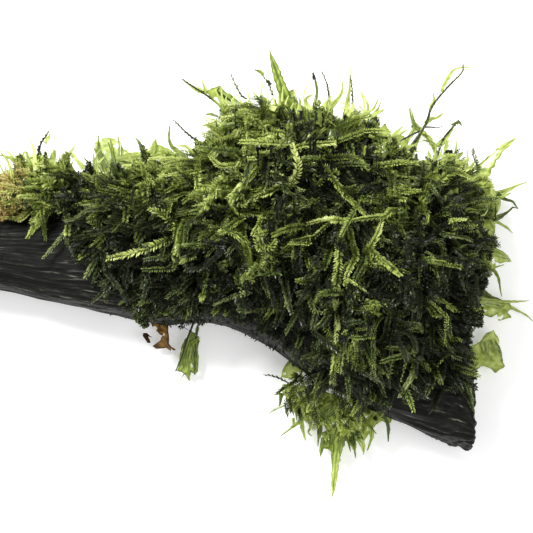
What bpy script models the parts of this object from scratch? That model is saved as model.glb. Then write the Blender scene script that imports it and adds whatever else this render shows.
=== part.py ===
"""Aquarium moss on driftwood: a dark, flared piece of driftwood that lies on its flat underside,
with moss grown over its broad end and draped along its limb.

Every size below is in millimetres, and MM turns it into Blender's metres. +Z is up, +X runs from
the limb's end to the broad end, and +Y to the back. The origin is on the flat underside.
"""

import math
import random

import bmesh
import bpy
from mathutils import Matrix, Vector, noise
from mathutils.bvhtree import BVHTree

MM = 0.001

# Driving dimensions
GAP = 0.35
GROUND_GAP = 0.4
GROUND_CUTTER = (300.0, 300.0, 20.0)

# Driftwood: a row of sections along X, each (x, front y, back y, bottom z, top z)
WOOD_SECTIONS = (
    (-80.0, 0.6, 7.0, 4.0, 10.0),
    (-78.0, -2.0, 9.5, 2.0, 13.0),
    (-72.0, -3.6, 11.0, 1.0, 15.0),
    (-58.5, -4.4, 11.2, 0.8, 16.0),
    (-46.0, -7.2, 14.0, 0.5, 17.0),
    (-35.0, -9.6, 18.5, -1.5, 18.5),
    (-23.5, -12.2, 21.0, -3.0, 20.0),
    (-14.5, -11.2, 21.5, -3.0, 21.0),
    (-6.0, -13.2, 22.5, -3.0, 22.0),
    (5.0, -20.0, 24.5, -3.0, 22.5),
    (14.0, -26.6, 24.0, -3.0, 22.5),
    (27.0, -32.8, 21.0, -3.0, 21.0),
    (36.0, -37.0, 16.5, -3.0, 19.0),
    (40.5, -38.6, 9.0, -3.0, 17.5),
    (43.2, -39.6, -4.0, -3.0, 16.0),
    (44.8, -39.3, -22.0, -2.0, 14.0),
)
WOOD_POINTS_AROUND = 30
WOOD_SECTION_STEP = 4.8
WOOD_END_STEP = 1.2
WOOD_SQUARENESS = 0.78
WOOD_FURROW = 1.3
WOOD_FURROW_LENGTH = 34.0
WOOD_FURROW_WIDTH = 5.0

# Main mound of moss: how far its edge reaches from its centre, by compass angle in degrees
MOUND_CENTRE = (16.0, 5.0, 8.0)
MOUND_REACH = (
    (0, 32.0),
    (22, 30.0),
    (42, 25.0),
    (62, 25.0),
    (90, 28.0),
    (111, 32.5),
    (127, 38.5),
    (140, 37.5),
    (152, 37.0),
    (180, 38.0),
    (200, 36.0),
    (223, 27.0),
    (248, 26.0),
    (270, 32.0),
    (289, 35.0),
    (304, 36.0),
    (316, 37.0),
    (333, 34.0),
)
MOUND_RISE = 23.0
MOUND_DROP = 6.5
MOUND_SUMMIT_SHIFT = (-1.0, 6.0)
MOUND_LUMPS = 2.4
MOUND_LUMP_PITCH = 3.1
MOUND_BROADNESS = 0.8
MOUND_FLATNESS = 0.85

# Smaller cushions: name, centre, half sizes, turn about Z in degrees, lump height
CUSHIONS = (
    ("moss_saddle", (-22.5, 6.5, 14.0), (20.5, 17.0, 10.5), -12.0, 1.8),
    ("moss_limb_tuft", (-49.0, 15.5, 9.5), (14.5, 9.5, 9.0), 4.0, 1.5),
    ("moss_front_skirt", (13.5, -30.5, 5.0), (10.5, 5.5, 4.2), -28.0, 0.8),
    ("moss_right_skirt", (42.5, 17.0, 6.5), (8.5, 10.0, 5.6), -20.0, 1.2),
)
CUSHION_LUMP_PITCH = 2.7

# Fringes of wet fronds that lie flat round the edge, and one old leaf. Each outline runs round once,
# and its sharp corners are the tips of the fronds.
FRINGES = {
    "moss_back_fringe": (
        (-40.0, 30.0), (-39.0, 33.0), (-38.0, 32.0), (-37.0, 33.0), (-36.0, 32.5), (-34.0, 33.0),
        (-33.0, 30.5), (-32.0, 29.5), (-29.0, 29.5), (-27.0, 30.5), (-25.5, 32.5), (-24.5, 31.0),
        (-21.0, 29.5), (-16.5, 26.5), (-18.5, 25.0), (-24.0, 25.0), (-25.0, 17.0), (-37.5, 17.0),
        (-38.0, 26.0),
    ),
    "moss_front_fringe": (
        (-0.5, -25.5), (1.5, -28.0), (-1.5, -28.5), (4.5, -30.5), (0.5, -32.5),
        (6.5, -32.0), (6.5, -35.0), (11.0, -33.5), (11.5, -37.0), (12.5, -42.0),
        (13.8, -38.0), (14.6, -43.5), (16.0, -38.0), (18.2, -40.0), (19.0, -36.8),
        (21.5, -41.0), (22.0, -36.0), (25.5, -34.5), (27.3, -38.3), (28.0, -34.0),
        (22.0, -26.0), (6.0, -20.0),
    ),
    "moss_right_fringe": (
        (47.0, -1.5), (49.5, -2.0), (51.5, -4.0), (53.5, -5.5), (55.0, -6.5), (55.0, -8.5),
        (56.0, -10.0), (52.5, -10.5), (52.0, -12.0), (51.5, -13.5), (52.5, -16.0), (52.5, -17.0),
        (53.5, -20.5), (51.5, -22.5), (50.0, -21.0), (47.0, -21.0), (44.5, -24.5), (43.0, -22.0),
        (42.0, -10.0),
    ),
    "moss_tuft_front": (
        (-15.8, -8.0), (-16.8, -15.0), (-18.6, -18.0), (-20.0, -23.0), (-18.2, -22.6),
        (-16.8, -25.2), (-16.4, -23.0), (-15.2, -23.4), (-15.1, -18.0), (-14.3, -16.0),
        (-15.0, -14.5), (-14.2, -8.0),
    ),
    "brown_leaf": (
        (-26.0, -9.0), (-25.8, -12.5), (-23.5, -14.2), (-24.3, -15.3), (-25.5, -15.9),
        (-26.4, -14.3), (-27.0, -13.1), (-27.9, -13.3), (-26.4, -16.2), (-25.3, -16.9),
        (-23.0, -17.0), (-21.3, -17.6), (-20.2, -17.1), (-21.3, -16.2), (-21.7, -12.8),
        (-22.2, -9.0),
    ),
}
FRINGE_HALF_THICKNESS = 1.1

# Single fronds that stand clear of the mass. Each runs (x, y, z) from its root to its tip, after
# the half width of its blade.
FRONDS = {
    "frond_back_01": (0.5, (-13.5, 28.5, 6.5), (-17.5, 31.5, 7.0), (-21.0, 35.0, 7.5)),
    "frond_back_02": (1.0, (-6.0, 35.5, 6.0), (-11.5, 39.5, 7.0), (-16.0, 42.5, 7.5), (-19.5, 45.0, 7.0)),
    "frond_back_03": (1.6, (-5.0, 36.0, 9.0), (-9.0, 39.0, 11.5), (-12.5, 41.0, 13.0)),
    "frond_back_04": (0.8, (-2.0, 34.0, 13.0), (-5.5, 38.0, 16.0), (-8.0, 42.5, 18.0)),
    "frond_back_05": (1.4, (-8.0, 30.5, 10.5), (-11.0, 32.5, 11.5), (-14.5, 35.0, 11.0)),
    "frond_back_06": (0.7, (4.0, 39.5, 9.0), (0.5, 42.0, 12.0), (-1.0, 44.0, 13.0), (-2.5, 45.0, 13.5)),
    "frond_back_07": (1.5, (6.0, 35.5, 12.5), (3.5, 40.0, 15.5), (0.5, 48.5, 17.0)),
    "frond_back_08": (0.9, (12.5, 37.5, 8.0), (11.5, 42.0, 10.0), (10.5, 45.0, 11.0)),
    "frond_back_09": (0.6, (15.0, 35.5, 9.5), (14.0, 40.5, 12.0), (12.5, 44.5, 13.5)),
    "frond_back_10": (0.9, (17.5, 36.0, 6.5), (19.0, 42.5, 9.0), (19.0, 47.0, 10.5)),
    "frond_back_11": (0.5, (20.0, 36.0, 9.0), (19.5, 40.0, 10.5), (19.0, 44.5, 11.0)),
    "frond_back_12": (1.6, (25.5, 30.0, 6.0), (26.0, 32.0, 6.5), (27.0, 34.0, 6.5)),
    "frond_right_01": (
        0.9, (34.0, 28.5, 8.0), (36.0, 33.0, 10.5), (37.5, 38.0, 13.0), (41.0, 43.0, 15.0),
        (44.0, 45.0, 16.0), (47.5, 44.0, 16.0),
    ),
    "frond_right_02": (0.9, (30.5, 30.5, 5.0), (33.0, 32.0, 6.5), (34.0, 34.0, 8.0), (32.5, 38.0, 8.5)),
    "frond_right_03": (0.9, (35.0, 25.5, 5.5), (39.5, 29.5, 7.0), (42.0, 33.0, 7.5), (44.0, 35.0, 7.5)),
    "frond_right_04": (0.6, (37.5, 24.0, 3.0), (38.5, 27.0, 3.5), (39.0, 29.0, 3.5)),
    "frond_right_05": (0.9, (40.5, 23.0, 8.5), (42.0, 25.0, 9.5), (44.5, 27.0, 9.5)),
    "frond_right_06": (
        1.9, (46.5, 19.0, 8.0), (48.5, 22.5, 10.5), (50.5, 24.5, 11.0), (52.0, 26.5, 11.5),
        (56.0, 29.5, 12.0),
    ),
    "frond_right_07": (0.8, (49.5, 19.0, 4.5), (53.0, 18.5, 4.5), (56.0, 20.0, 4.5), (59.5, 21.5, 4.0)),
    "frond_right_08": (0.9, (51.5, 11.5, 2.5), (54.5, 13.5, 2.5), (56.0, 16.5, 2.5), (57.5, 15.5, 2.0)),
    "frond_right_09": (0.7, (51.5, 10.5, 5.0), (53.5, 11.0, 5.5), (55.5, 9.0, 5.5)),
    "frond_right_10": (1.5, (50.0, 5.0, 6.5), (52.5, 4.5, 6.0), (55.0, 2.5, 5.0)),
    "frond_right_11": (0.6, (50.0, 3.5, 6.5), (51.5, 0.0, 6.0), (52.5, -5.5, 5.5)),
    "frond_right_12": (0.8, (52.5, -7.5, 4.5), (56.0, -6.5, 4.5), (59.0, -6.0, 4.0)),
    "frond_right_13": (1.0, (53.0, -7.5, 3.0), (57.0, -8.0, 2.5), (60.0, -10.5, 1.5)),
    "frond_front_01": (0.5, (5.0, -24.0, 6.0), (2.0, -23.5, 5.0), (-0.5, -23.0, 4.5)),
    "frond_front_02": (0.7, (5.0, -29.5, 4.5), (3.0, -30.0, 4.5), (0.5, -31.5, 4.0)),
    "frond_front_03": (0.9, (13.0, -37.5, 4.5), (12.0, -39.5, 4.0), (12.0, -41.0, 3.5)),
    "frond_front_04": (1.4, (15.5, -38.0, 5.0), (15.0, -43.5, 4.5), (14.5, -50.0, 3.0)),
    "frond_front_05": (0.9, (20.5, -36.0, 4.5), (21.0, -38.0, 4.5), (21.5, -40.5, 3.5)),
    "frond_left_01": (0.9, (-51.5, 24.5, 12.5), (-50.5, 27.5, 13.5), (-48.5, 30.5, 13.5)),
    "frond_left_02": (0.9, (-48.0, 24.5, 9.0), (-48.0, 26.0, 9.5), (-48.0, 28.0, 9.5)),
    "frond_left_03": (0.9, (-47.5, 24.0, 6.0), (-45.5, 26.5, 6.5), (-43.5, 29.5, 6.5)),
}
FROND_THICKNESS = 0.42
FROND_PROFILE = (0.5, 0.9, 1.0, 0.85, 0.55, 0.14)
FROND_ROOT_DEPTH = 1.5

# Locks of moss drawn out of a cushion: each starts on one facet, narrows and droops to a point
LOCK_SHARE = 0.5
LOCK_REACH = (6.0, 10.0)
LOCK_TURN = 38.0
LOCK_NARROWING = 0.34
LOCK_SPACING = 2.3
LOCK_LEAST_FACET = 1.2
LOCK_CLEARANCE = 1.5
LOCK_FULL_HEIGHT = 8.0
LOCK_BEND = 0.45
LOCK_DROOP = 0.1
LOCK_LOWEST_SLOPE = -0.2
# By how far a facet faces up: how steeply its lock rises, and how much of the reach it takes. At the
# rim the single fronds make the outline, so the locks are short.
LOCK_RISE = ((0.0, 0.6), (0.7, 0.75))
LOCK_STRETCH = ((0.0, 0.3), (0.6, 0.6), (0.85, 1.0))
# The same two for a facet that faces straight up: on the mound's crown the locks stand tall
MOUND_CROWN = (2.6, 1.55)
CUSHION_CROWN = (1.1, 1.0)

COLOURS = {
    "wood": ((0.030, 0.026, 0.024), 0.45),
    "moss_dark": ((0.045, 0.085, 0.018), 0.5),
    "moss_mid": ((0.12, 0.22, 0.035), 0.5),
    "moss_bright": ((0.34, 0.46, 0.07), 0.45),
    "moss_tan": ((0.36, 0.33, 0.08), 0.5),
    "leaf_brown": ((0.20, 0.09, 0.05), 0.5),
}


def clear_scene():
    for old in list(bpy.data.objects):
        bpy.data.objects.remove(old, do_unlink=True)


def new_collection(name):
    made = bpy.data.collections.new(name)
    bpy.context.scene.collection.children.link(made)
    return made


def make_material(name):
    colour, roughness = COLOURS[name]
    material = bpy.data.materials.get(name) or bpy.data.materials.new(name)
    material.use_nodes = True
    shader = material.node_tree.nodes["Principled BSDF"]
    shader.inputs["Base Color"].default_value = (*colour, 1.0)
    shader.inputs["Roughness"].default_value = roughness
    shader.inputs["Metallic"].default_value = 0.0
    return material


def add_object(name, mesh, collection, material_name):
    obj = bpy.data.objects.new(name, mesh)
    collection.objects.link(obj)
    mesh.materials.clear()
    mesh.materials.append(make_material(material_name))
    return obj


def between(rows, at):
    """The row of numbers at this place, read between the rows either side of it."""
    at = min(max(at, rows[0][0]), rows[-1][0])
    for low, high in zip(rows, rows[1:]):
        if at <= high[0]:
            share = (at - low[0]) / (high[0] - low[0])
            share = share * share * (3 - 2 * share) if len(low) == 2 else share
            return [a + (b - a) * share for a, b in zip(low[1:], high[1:])]
    return list(rows[-1][1:])


def rounded(value, power):
    return math.copysign(abs(value) ** power, value)


def wood_point(x, turn):
    """A point on the wood's surface, with furrows that run along the grain."""
    front, back, bottom, top = between(WOOD_SECTIONS, x)
    across = rounded(math.cos(turn), WOOD_SQUARENESS)
    up = rounded(math.sin(turn), WOOD_SQUARENESS)
    half = Vector(((back - front) / 2, (top - bottom) / 2))
    place = Vector((x, (front + back) / 2 + half.x * across, (top + bottom) / 2 + half.y * up))
    grain = Vector((x / WOOD_FURROW_LENGTH, place.y / WOOD_FURROW_WIDTH, place.z / WOOD_FURROW_WIDTH))
    furrow = WOOD_FURROW * noise.noise(grain) * min(1.0, half.x / 8.0)
    outward = Vector((0.0, across / half.x, up / half.y)).normalized()
    return place + outward * furrow


def make_driftwood(collection, cutters):
    """A loft through the sections, trimmed flat underneath where it rests."""
    first, last = WOOD_SECTIONS[0][0], WOOD_SECTIONS[-1][0]
    inner = round((last - first) / WOOD_SECTION_STEP)
    places = [first + (last - first) * i / inner for i in range(inner + 1)]
    places.insert(1, first + WOOD_END_STEP)
    shape = bmesh.new()
    rings = []
    for x in places:
        turns = [2 * math.pi * k / WOOD_POINTS_AROUND for k in range(WOOD_POINTS_AROUND)]
        rings.append([shape.verts.new(wood_point(x, turn) * MM) for turn in turns])
    for ring, following in zip(rings, rings[1:]):
        for k in range(WOOD_POINTS_AROUND):
            after = (k + 1) % WOOD_POINTS_AROUND
            shape.faces.new((ring[k], ring[after], following[after], following[k]))
    shape.faces.new(rings[0])
    shape.faces.new(rings[-1])
    bmesh.ops.recalc_face_normals(shape, faces=shape.faces)
    mesh = bpy.data.meshes.new("driftwood")
    shape.to_mesh(mesh)
    shape.free()
    wood = add_object("driftwood", mesh, collection, "wood")

    bpy.ops.mesh.primitive_cube_add(size=1.0)
    ground = bpy.context.object
    ground.name = "ground_cutter"
    ground.scale = Vector(GROUND_CUTTER) * MM
    ground.location = (0.0, 0.0, -GROUND_CUTTER[2] / 2 * MM)
    move_to(ground, cutters)
    cut(wood, ground)
    facets = wood.modifiers.new("facets", "TRIANGULATE")
    facets.min_vertices = 4
    apply_modifiers(wood)
    return wood


def move_to(obj, collection):
    for old in list(obj.users_collection):
        old.objects.unlink(obj)
    collection.objects.link(obj)
    obj.hide_render = True
    obj.display_type = "WIRE"


def cut(obj, cutter):
    modifier = obj.modifiers.new(f"cut_{cutter.name}", "BOOLEAN")
    modifier.operation = "DIFFERENCE"
    modifier.solver = "EXACT"
    modifier.object = cutter


def apply_modifiers(obj):
    """The object's mesh becomes what its modifiers make of it."""
    bpy.context.view_layer.update()
    graph = bpy.context.evaluated_depsgraph_get()
    mesh = bpy.data.meshes.new_from_object(obj.evaluated_get(graph))
    obj.modifiers.clear()
    obj.data = mesh
    return obj


def clearance_of(obj, cutters):
    """A copy of obj that is larger by the gap all round, to cut its neighbours with."""
    grown = bpy.data.objects.new(f"{obj.name}_clearance", obj.data.copy())
    grown.matrix_world = obj.matrix_world
    cutters.objects.link(grown)
    grown.hide_render = True
    grown.display_type = "WIRE"
    swell = grown.modifiers.new("swell", "DISPLACE")
    swell.strength = GAP * MM
    swell.mid_level = 0.0
    return apply_modifiers(grown)


def largest_body(obj):
    """Keeps the biggest loose body of a mesh, and drops the crumbs that a cut leaves."""
    shape = bmesh.new()
    shape.from_mesh(obj.data)
    bmesh.ops.remove_doubles(shape, verts=shape.verts, dist=0.00001)
    seen, bodies = set(), []
    for start in shape.verts:
        if start in seen:
            continue
        body, waiting = [], [start]
        seen.add(start)
        while waiting:
            vert = waiting.pop()
            body.append(vert)
            for edge in vert.link_edges:
                other = edge.other_vert(vert)
                if other not in seen:
                    seen.add(other)
                    waiting.append(other)
        bodies.append(body)
    bodies.sort(key=lambda body: -len(body))
    crumbs = [vert for body in bodies[1:] for vert in body]
    bmesh.ops.delete(shape, geom=crumbs, context="VERTS")
    shape.to_mesh(obj.data)
    shape.free()


def tree_of(obj):
    """The object's surface, to measure distances to."""
    points = [vert.co for vert in obj.data.vertices]
    return BVHTree.FromPolygons(points, [face.vertices for face in obj.data.polygons])


def lock_is_clear(trees, base, collar, tip):
    """Whether a lock with this base, collar and tip stays away from every other piece."""
    sides = len(base)
    halfway = [(a + b) / 2 for a, b in zip(base + collar, collar + [tip] * sides)]
    marks = [sum(base, Vector()) / sides, tip, *collar, *halfway]
    if min(mark.z for mark in marks) < GROUND_GAP * MM:
        return False
    if any(tree.find_nearest(mark)[3] < LOCK_CLEARANCE * MM for tree in trees for mark in marks):
        return False
    after = [(k + 1) % sides for k in range(sides)]
    skin = [(k, after[k], sides + after[k], sides + k) for k in range(sides)]
    skin += [(sides + k, sides + after[k], 2 * sides) for k in range(sides)]
    lock = BVHTree.FromPolygons([*base, *collar, tip], skin)
    return not any(tree.overlap(lock) for tree in trees)


def settle(obj, cutters, taken):
    """Trims obj to the space that is free, and adds its own whole form to the space taken."""
    clearance = clearance_of(obj, cutters)
    trim(obj, taken)
    taken.append(clearance)
    return obj


def trim(obj, taken):
    """Cuts each clearance out of obj, one at a time, and keeps the body that is left."""
    for clearance in taken:
        cut(obj, clearance)
        apply_modifiers(obj)
        largest_body(obj)


def raise_locks(cushion, middle, scale, crown, neighbours):
    """Draws locks out of a cushion's facets. They flow away from its middle and cross nothing."""
    rng = random.Random(len(cushion.name))
    rises = (*LOCK_RISE, (1.0, crown[0]))
    stretches = (*LOCK_STRETCH, (1.0, crown[1]))
    trees = [tree_of(other) for other in neighbours]
    shape = bmesh.new()
    shape.from_mesh(cushion.data)
    shape.normal_update()
    placed = []
    for facet in list(shape.faces):
        root = facet.calc_center_median()
        wanted = rng.random() < LOCK_SHARE
        turn = math.radians(rng.uniform(-LOCK_TURN, LOCK_TURN))
        slope = facet.normal.z
        reach = rng.uniform(*LOCK_REACH) * between(stretches, slope)[0] * scale * MM
        least_area = LOCK_LEAST_FACET * scale * MM * MM
        if not wanted or slope < LOCK_LOWEST_SLOPE or facet.calc_area() < least_area:
            continue
        away = math.atan2(root.y - middle[1] * MM, root.x - middle[0] * MM) + turn
        flow = Vector((math.cos(away), math.sin(away), 0.0))
        heading = (facet.normal * between(rises, slope)[0] + flow).normalized()
        ending = (heading + flow - Vector((0.0, 0.0, LOCK_DROOP))).normalized()
        bend = root + heading * reach * LOCK_BEND
        tip = bend + ending * reach * (1 - LOCK_BEND)
        marks = [bend, (bend + tip) / 2, tip]
        near = min(((mark - other).length for mark in marks for other in placed), default=1.0)
        base = [vert.co.copy() for vert in facet.verts]
        collar = [bend + (point - root) * LOCK_NARROWING for point in base]
        if near < LOCK_SPACING * scale * MM or not lock_is_clear(trees, base, collar, tip):
            continue
        placed.extend(marks)
        drawn = bmesh.ops.extrude_discrete_faces(shape, faces=[facet])["faces"][0]
        for vert, place in zip(drawn.verts, collar):
            vert.co = place
        bmesh.ops.poke(shape, faces=[drawn])["verts"][0].co = tip
    shape.to_mesh(cushion.data)
    shape.free()


def mound_reach(azimuth):
    """How far the mound's edge is from its centre in this direction, in millimetres."""
    rows = (*MOUND_REACH, (360, MOUND_REACH[0][1]))
    return between(rows, math.degrees(azimuth) % 360)[0]


def cushion_object(name, shape, collection, material):
    bmesh.ops.recalc_face_normals(shape, faces=shape.faces)
    mesh = bpy.data.meshes.new(name)
    shape.to_mesh(mesh)
    shape.free()
    return add_object(name, mesh, collection, material)


def make_mound(collection):
    """The moss over the broad end: a lumpy dome whose edge follows the reach table."""
    shape = bmesh.new()
    bmesh.ops.create_icosphere(shape, subdivisions=4, radius=1.0)
    centre = Vector(MOUND_CENTRE)
    for vert in shape.verts:
        unit = vert.co.copy()
        reach = mound_reach(math.atan2(unit.y, unit.x))
        rise = MOUND_RISE if unit.z > 0 else MOUND_DROP
        flat = math.hypot(unit.x, unit.y) ** MOUND_BROADNESS
        side = Vector((unit.x, unit.y, 0.0)).normalized() * reach * flat
        lumps = MOUND_LUMPS * noise.noise(unit * MOUND_LUMP_PITCH)
        summit = Vector((*MOUND_SUMMIT_SHIFT, 0.0)) * max(unit.z, 0.0)
        place = centre + side + summit + Vector((0.0, 0.0, rounded(unit.z, MOUND_FLATNESS) * rise))
        vert.co = (place + unit * lumps) * MM
    return cushion_object("moss_mound", shape, collection, "moss_dark")


def make_cushion(row, collection, material):
    """A smaller lumpy cushion that stays clear of the ground."""
    name, centre, halves, turn, lump = row
    shape = bmesh.new()
    bmesh.ops.create_icosphere(shape, subdivisions=3, radius=1.0)
    angle = math.radians(turn)
    for vert in shape.verts:
        unit = vert.co.copy()
        lumps = lump * noise.noise(unit * CUSHION_LUMP_PITCH + Vector(centre))
        local = Vector((unit.x * halves[0], unit.y * halves[1], unit.z * halves[2])) + unit * lumps
        x = local.x * math.cos(angle) - local.y * math.sin(angle)
        y = local.x * math.sin(angle) + local.y * math.cos(angle)
        z = max(local.z + centre[2], GROUND_GAP)
        vert.co = Vector((x + centre[0], y + centre[1], z)) * MM
    return cushion_object(name, shape, collection, material)


def make_fringe(name, outline, collection):
    """Wet leaf that lies flat, as one thin sheet with pointed tips."""
    curve = bpy.data.curves.new(name, "CURVE")
    curve.dimensions = "2D"
    curve.fill_mode = "BOTH"
    curve.extrude = FRINGE_HALF_THICKNESS * MM
    spline = curve.splines.new("POLY")
    spline.points.add(len(outline) - 1)
    for point, (x, y) in zip(spline.points, outline):
        point.co = (x * MM, y * MM, 0.0, 1.0)
    spline.use_cyclic_u = True
    material = "leaf_brown" if name == "brown_leaf" else "moss_bright"
    sheet = solid_from_curve(name, curve, collection, material)
    sheet.data.transform(Matrix.Translation((0.0, 0.0, (FRINGE_HALF_THICKNESS + GROUND_GAP) * MM)))
    return sheet


def solid_from_curve(name, curve, collection, material):
    """The curve's shape as a mesh with its caps welded on."""
    drawn = bpy.data.objects.new(name + "_curve", curve)
    bpy.context.scene.collection.objects.link(drawn)
    bpy.context.view_layer.update()
    graph = bpy.context.evaluated_depsgraph_get()
    mesh = bpy.data.meshes.new_from_object(drawn.evaluated_get(graph))
    bpy.data.objects.remove(drawn)
    shape = bmesh.new()
    shape.from_mesh(mesh)
    bmesh.ops.remove_doubles(shape, verts=shape.verts, dist=0.000005)
    bmesh.ops.recalc_face_normals(shape, faces=shape.faces)
    shape.to_mesh(mesh)
    shape.free()
    return add_object(name, mesh, collection, material)


def make_blade_section(cutters):
    """The diamond section that the fronds are swept with: one unit wide each side of its rib."""
    curve = bpy.data.curves.new("blade_section", "CURVE")
    curve.dimensions = "2D"
    spline = curve.splines.new("POLY")
    corners = ((1.0, 0.0), (0.0, FROND_THICKNESS), (-1.0, 0.0), (0.0, -FROND_THICKNESS))
    spline.points.add(len(corners) - 1)
    for point, (x, y) in zip(spline.points, corners):
        point.co = (x * MM, y * MM, 0.0, 1.0)
    spline.use_cyclic_u = True
    section = bpy.data.objects.new("blade_section", curve)
    cutters.objects.link(section)
    section.hide_render = True
    return section


def curve_point(a, b, c, d, t):
    """A point between b and c, on the smooth curve through all four."""
    constant = 2 * b
    slope = (c - a) * t
    bow = (2 * a - 5 * b + 4 * c - d) * t**2
    twist = (3 * b - a - 3 * c + d) * t**3
    return 0.5 * (constant + slope + bow + twist)


def smooth_route(points, count):
    """Points at even steps on a smooth curve through these ones."""
    padded = [2 * points[0] - points[1], *points, 2 * points[-1] - points[-2]]
    route = []
    for i in range(count):
        place = i / (count - 1) * (len(points) - 1)
        leg = min(int(place), len(points) - 2)
        route.append(curve_point(*padded[leg : leg + 4], place - leg))
    return route


def sunk_root(start, cushions):
    """Where a frond that starts near here has its root, just inside the nearest cushion."""
    nearest = min((tree_of(cushion).find_nearest(start * MM) for cushion in cushions), key=lambda hit: hit[3])
    return nearest[0] / MM - nearest[1] * FROND_ROOT_DEPTH


def make_frond(name, row, section, collection, cushions):
    """One moss frond as a tapering blade swept along its route."""
    half_width, *route = row
    route = [Vector(point) for point in route]
    route[0] = sunk_root(route[0], cushions)
    curve = bpy.data.curves.new(name, "CURVE")
    curve.dimensions = "3D"
    curve.twist_mode = "Z_UP"
    curve.bevel_mode = "OBJECT"
    curve.bevel_object = section
    curve.use_fill_caps = True
    spline = curve.splines.new("POLY")
    spline.points.add(len(FROND_PROFILE) - 1)
    for point, place, width in zip(spline.points, smooth_route(route, len(FROND_PROFILE)), FROND_PROFILE):
        point.co = (*(place * MM), 1.0)
        point.radius = half_width * width
    return solid_from_curve(name, curve, collection, "moss_mid")


def main():
    clear_scene()
    model = new_collection("moss_on_driftwood")
    cutters = new_collection("cutters")
    taken = []
    wood = settle(make_driftwood(model, cutters), cutters, taken)
    cushions = [settle(make_mound(model), cutters, taken)]
    for row in CUSHIONS:
        material = "moss_tan" if row[0] == "moss_limb_tuft" else "moss_mid"
        cushions.append(settle(make_cushion(row, model, material), cutters, taken))
    fringes = [settle(make_fringe(*row, model), cutters, taken) for row in FRINGES.items()]
    section = make_blade_section(cutters)
    fronds = []
    for name, row in FRONDS.items():
        fronds.append(make_frond(name, row, section, model, cushions))
        trim(fronds[-1], taken)

    summit = (MOUND_CENTRE[0] + MOUND_SUMMIT_SHIFT[0], MOUND_CENTRE[1] + MOUND_SUMMIT_SHIFT[1])
    middles = [summit, *(row[1] for row in CUSHIONS)]
    scales = [1.0, *(min(1.0, row[2][2] / LOCK_FULL_HEIGHT) for row in CUSHIONS)]
    crowns = [MOUND_CROWN, *(CUSHION_CROWN for row in CUSHIONS)]
    everything = [wood, *cushions, *fringes, *fronds]
    for cushion, middle, scale, crown in zip(cushions, middles, scales, crowns):
        others = [obj for obj in everything if obj is not cushion]
        raise_locks(cushion, middle, scale, crown, others)


main()
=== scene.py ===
"""Looks of the aquarium moss on driftwood: wet, nearly black wood, and thousands of leafy fronds.

Lengths are in millimetres until they reach Blender, where MM turns them into metres. A place in the
view is given as (right, up) in millimetres from its middle, on the plane through the object.
"""

import math

import bpy
import numpy as np
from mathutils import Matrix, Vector, geometry, noise
from mathutils.bvhtree import BVHTree


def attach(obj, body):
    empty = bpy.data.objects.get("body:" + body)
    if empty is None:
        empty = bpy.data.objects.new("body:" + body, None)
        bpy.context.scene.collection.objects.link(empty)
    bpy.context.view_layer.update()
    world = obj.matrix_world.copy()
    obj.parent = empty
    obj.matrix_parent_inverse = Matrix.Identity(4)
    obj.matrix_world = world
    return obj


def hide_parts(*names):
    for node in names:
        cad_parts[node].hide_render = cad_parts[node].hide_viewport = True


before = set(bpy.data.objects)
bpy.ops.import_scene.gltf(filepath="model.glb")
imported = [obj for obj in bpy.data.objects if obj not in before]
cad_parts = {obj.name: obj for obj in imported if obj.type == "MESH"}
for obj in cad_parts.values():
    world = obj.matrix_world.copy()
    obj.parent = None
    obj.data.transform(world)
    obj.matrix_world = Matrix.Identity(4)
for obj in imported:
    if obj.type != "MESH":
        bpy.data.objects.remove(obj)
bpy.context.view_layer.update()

MM = 0.001
RNG = np.random.default_rng(11)
UP = np.array((0.0, 0.0, 1.0))

# Camera: the photograph looks almost straight down
VIEW_WIDTH = 117.3
CAMERA_ELEVATION = 78.0
CAMERA_LENS = 100.0
CAMERA_SENSOR = 36.0
VIEW_HEIGHT = 12.0

# Where the moss on the mound seems to spring from, seen from above
MOUND_HEART = (11.0, 20.0)

# How bright the moss is: (x, y, reach, change of tone) on the plan. Partly the moss's own brighter and darker
# patches, partly painted light and shade: lighter where the key light falls on the moss, darker where it lies in
# shade.
TONE_AND_PAINTED_LIGHT_PATCHES = (
    (-10.0, 20.0, 13.0, 0.22), (0.0, 33.0, 11.0, 0.30), (15.0, 34.0, 10.0, 0.28),
    (27.0, 28.0, 9.0, 0.26), (44.0, 20.0, 9.0, 0.34), (24.0, 7.0, 6.0, 0.18),
    (38.0, 4.0, 12.0, -0.14), (36.0, -14.0, 15.0, -0.12), (10.0, 17.0, 7.0, -0.12),
    (2.0, -12.0, 11.0, -0.20), (-20.0, -2.0, 11.0, -0.26), (-33.0, 2.0, 9.0, -0.16),
    (-22.0, 19.0, 8.0, 0.14), (-53.0, 19.0, 9.0, 0.36), (-42.0, 12.0, 6.0, -0.12),
    (48.0, 2.0, 5.0, 0.20), (13.0, -34.0, 6.0, 0.16), (50.0, 17.0, 6.0, 0.16),
)
# Where old moss has turned tan: (x, y, reach)
TAN_PATCHES = ((-58.0, 15.0, 6.0), (-55.0, 10.5, 4.0))

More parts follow.
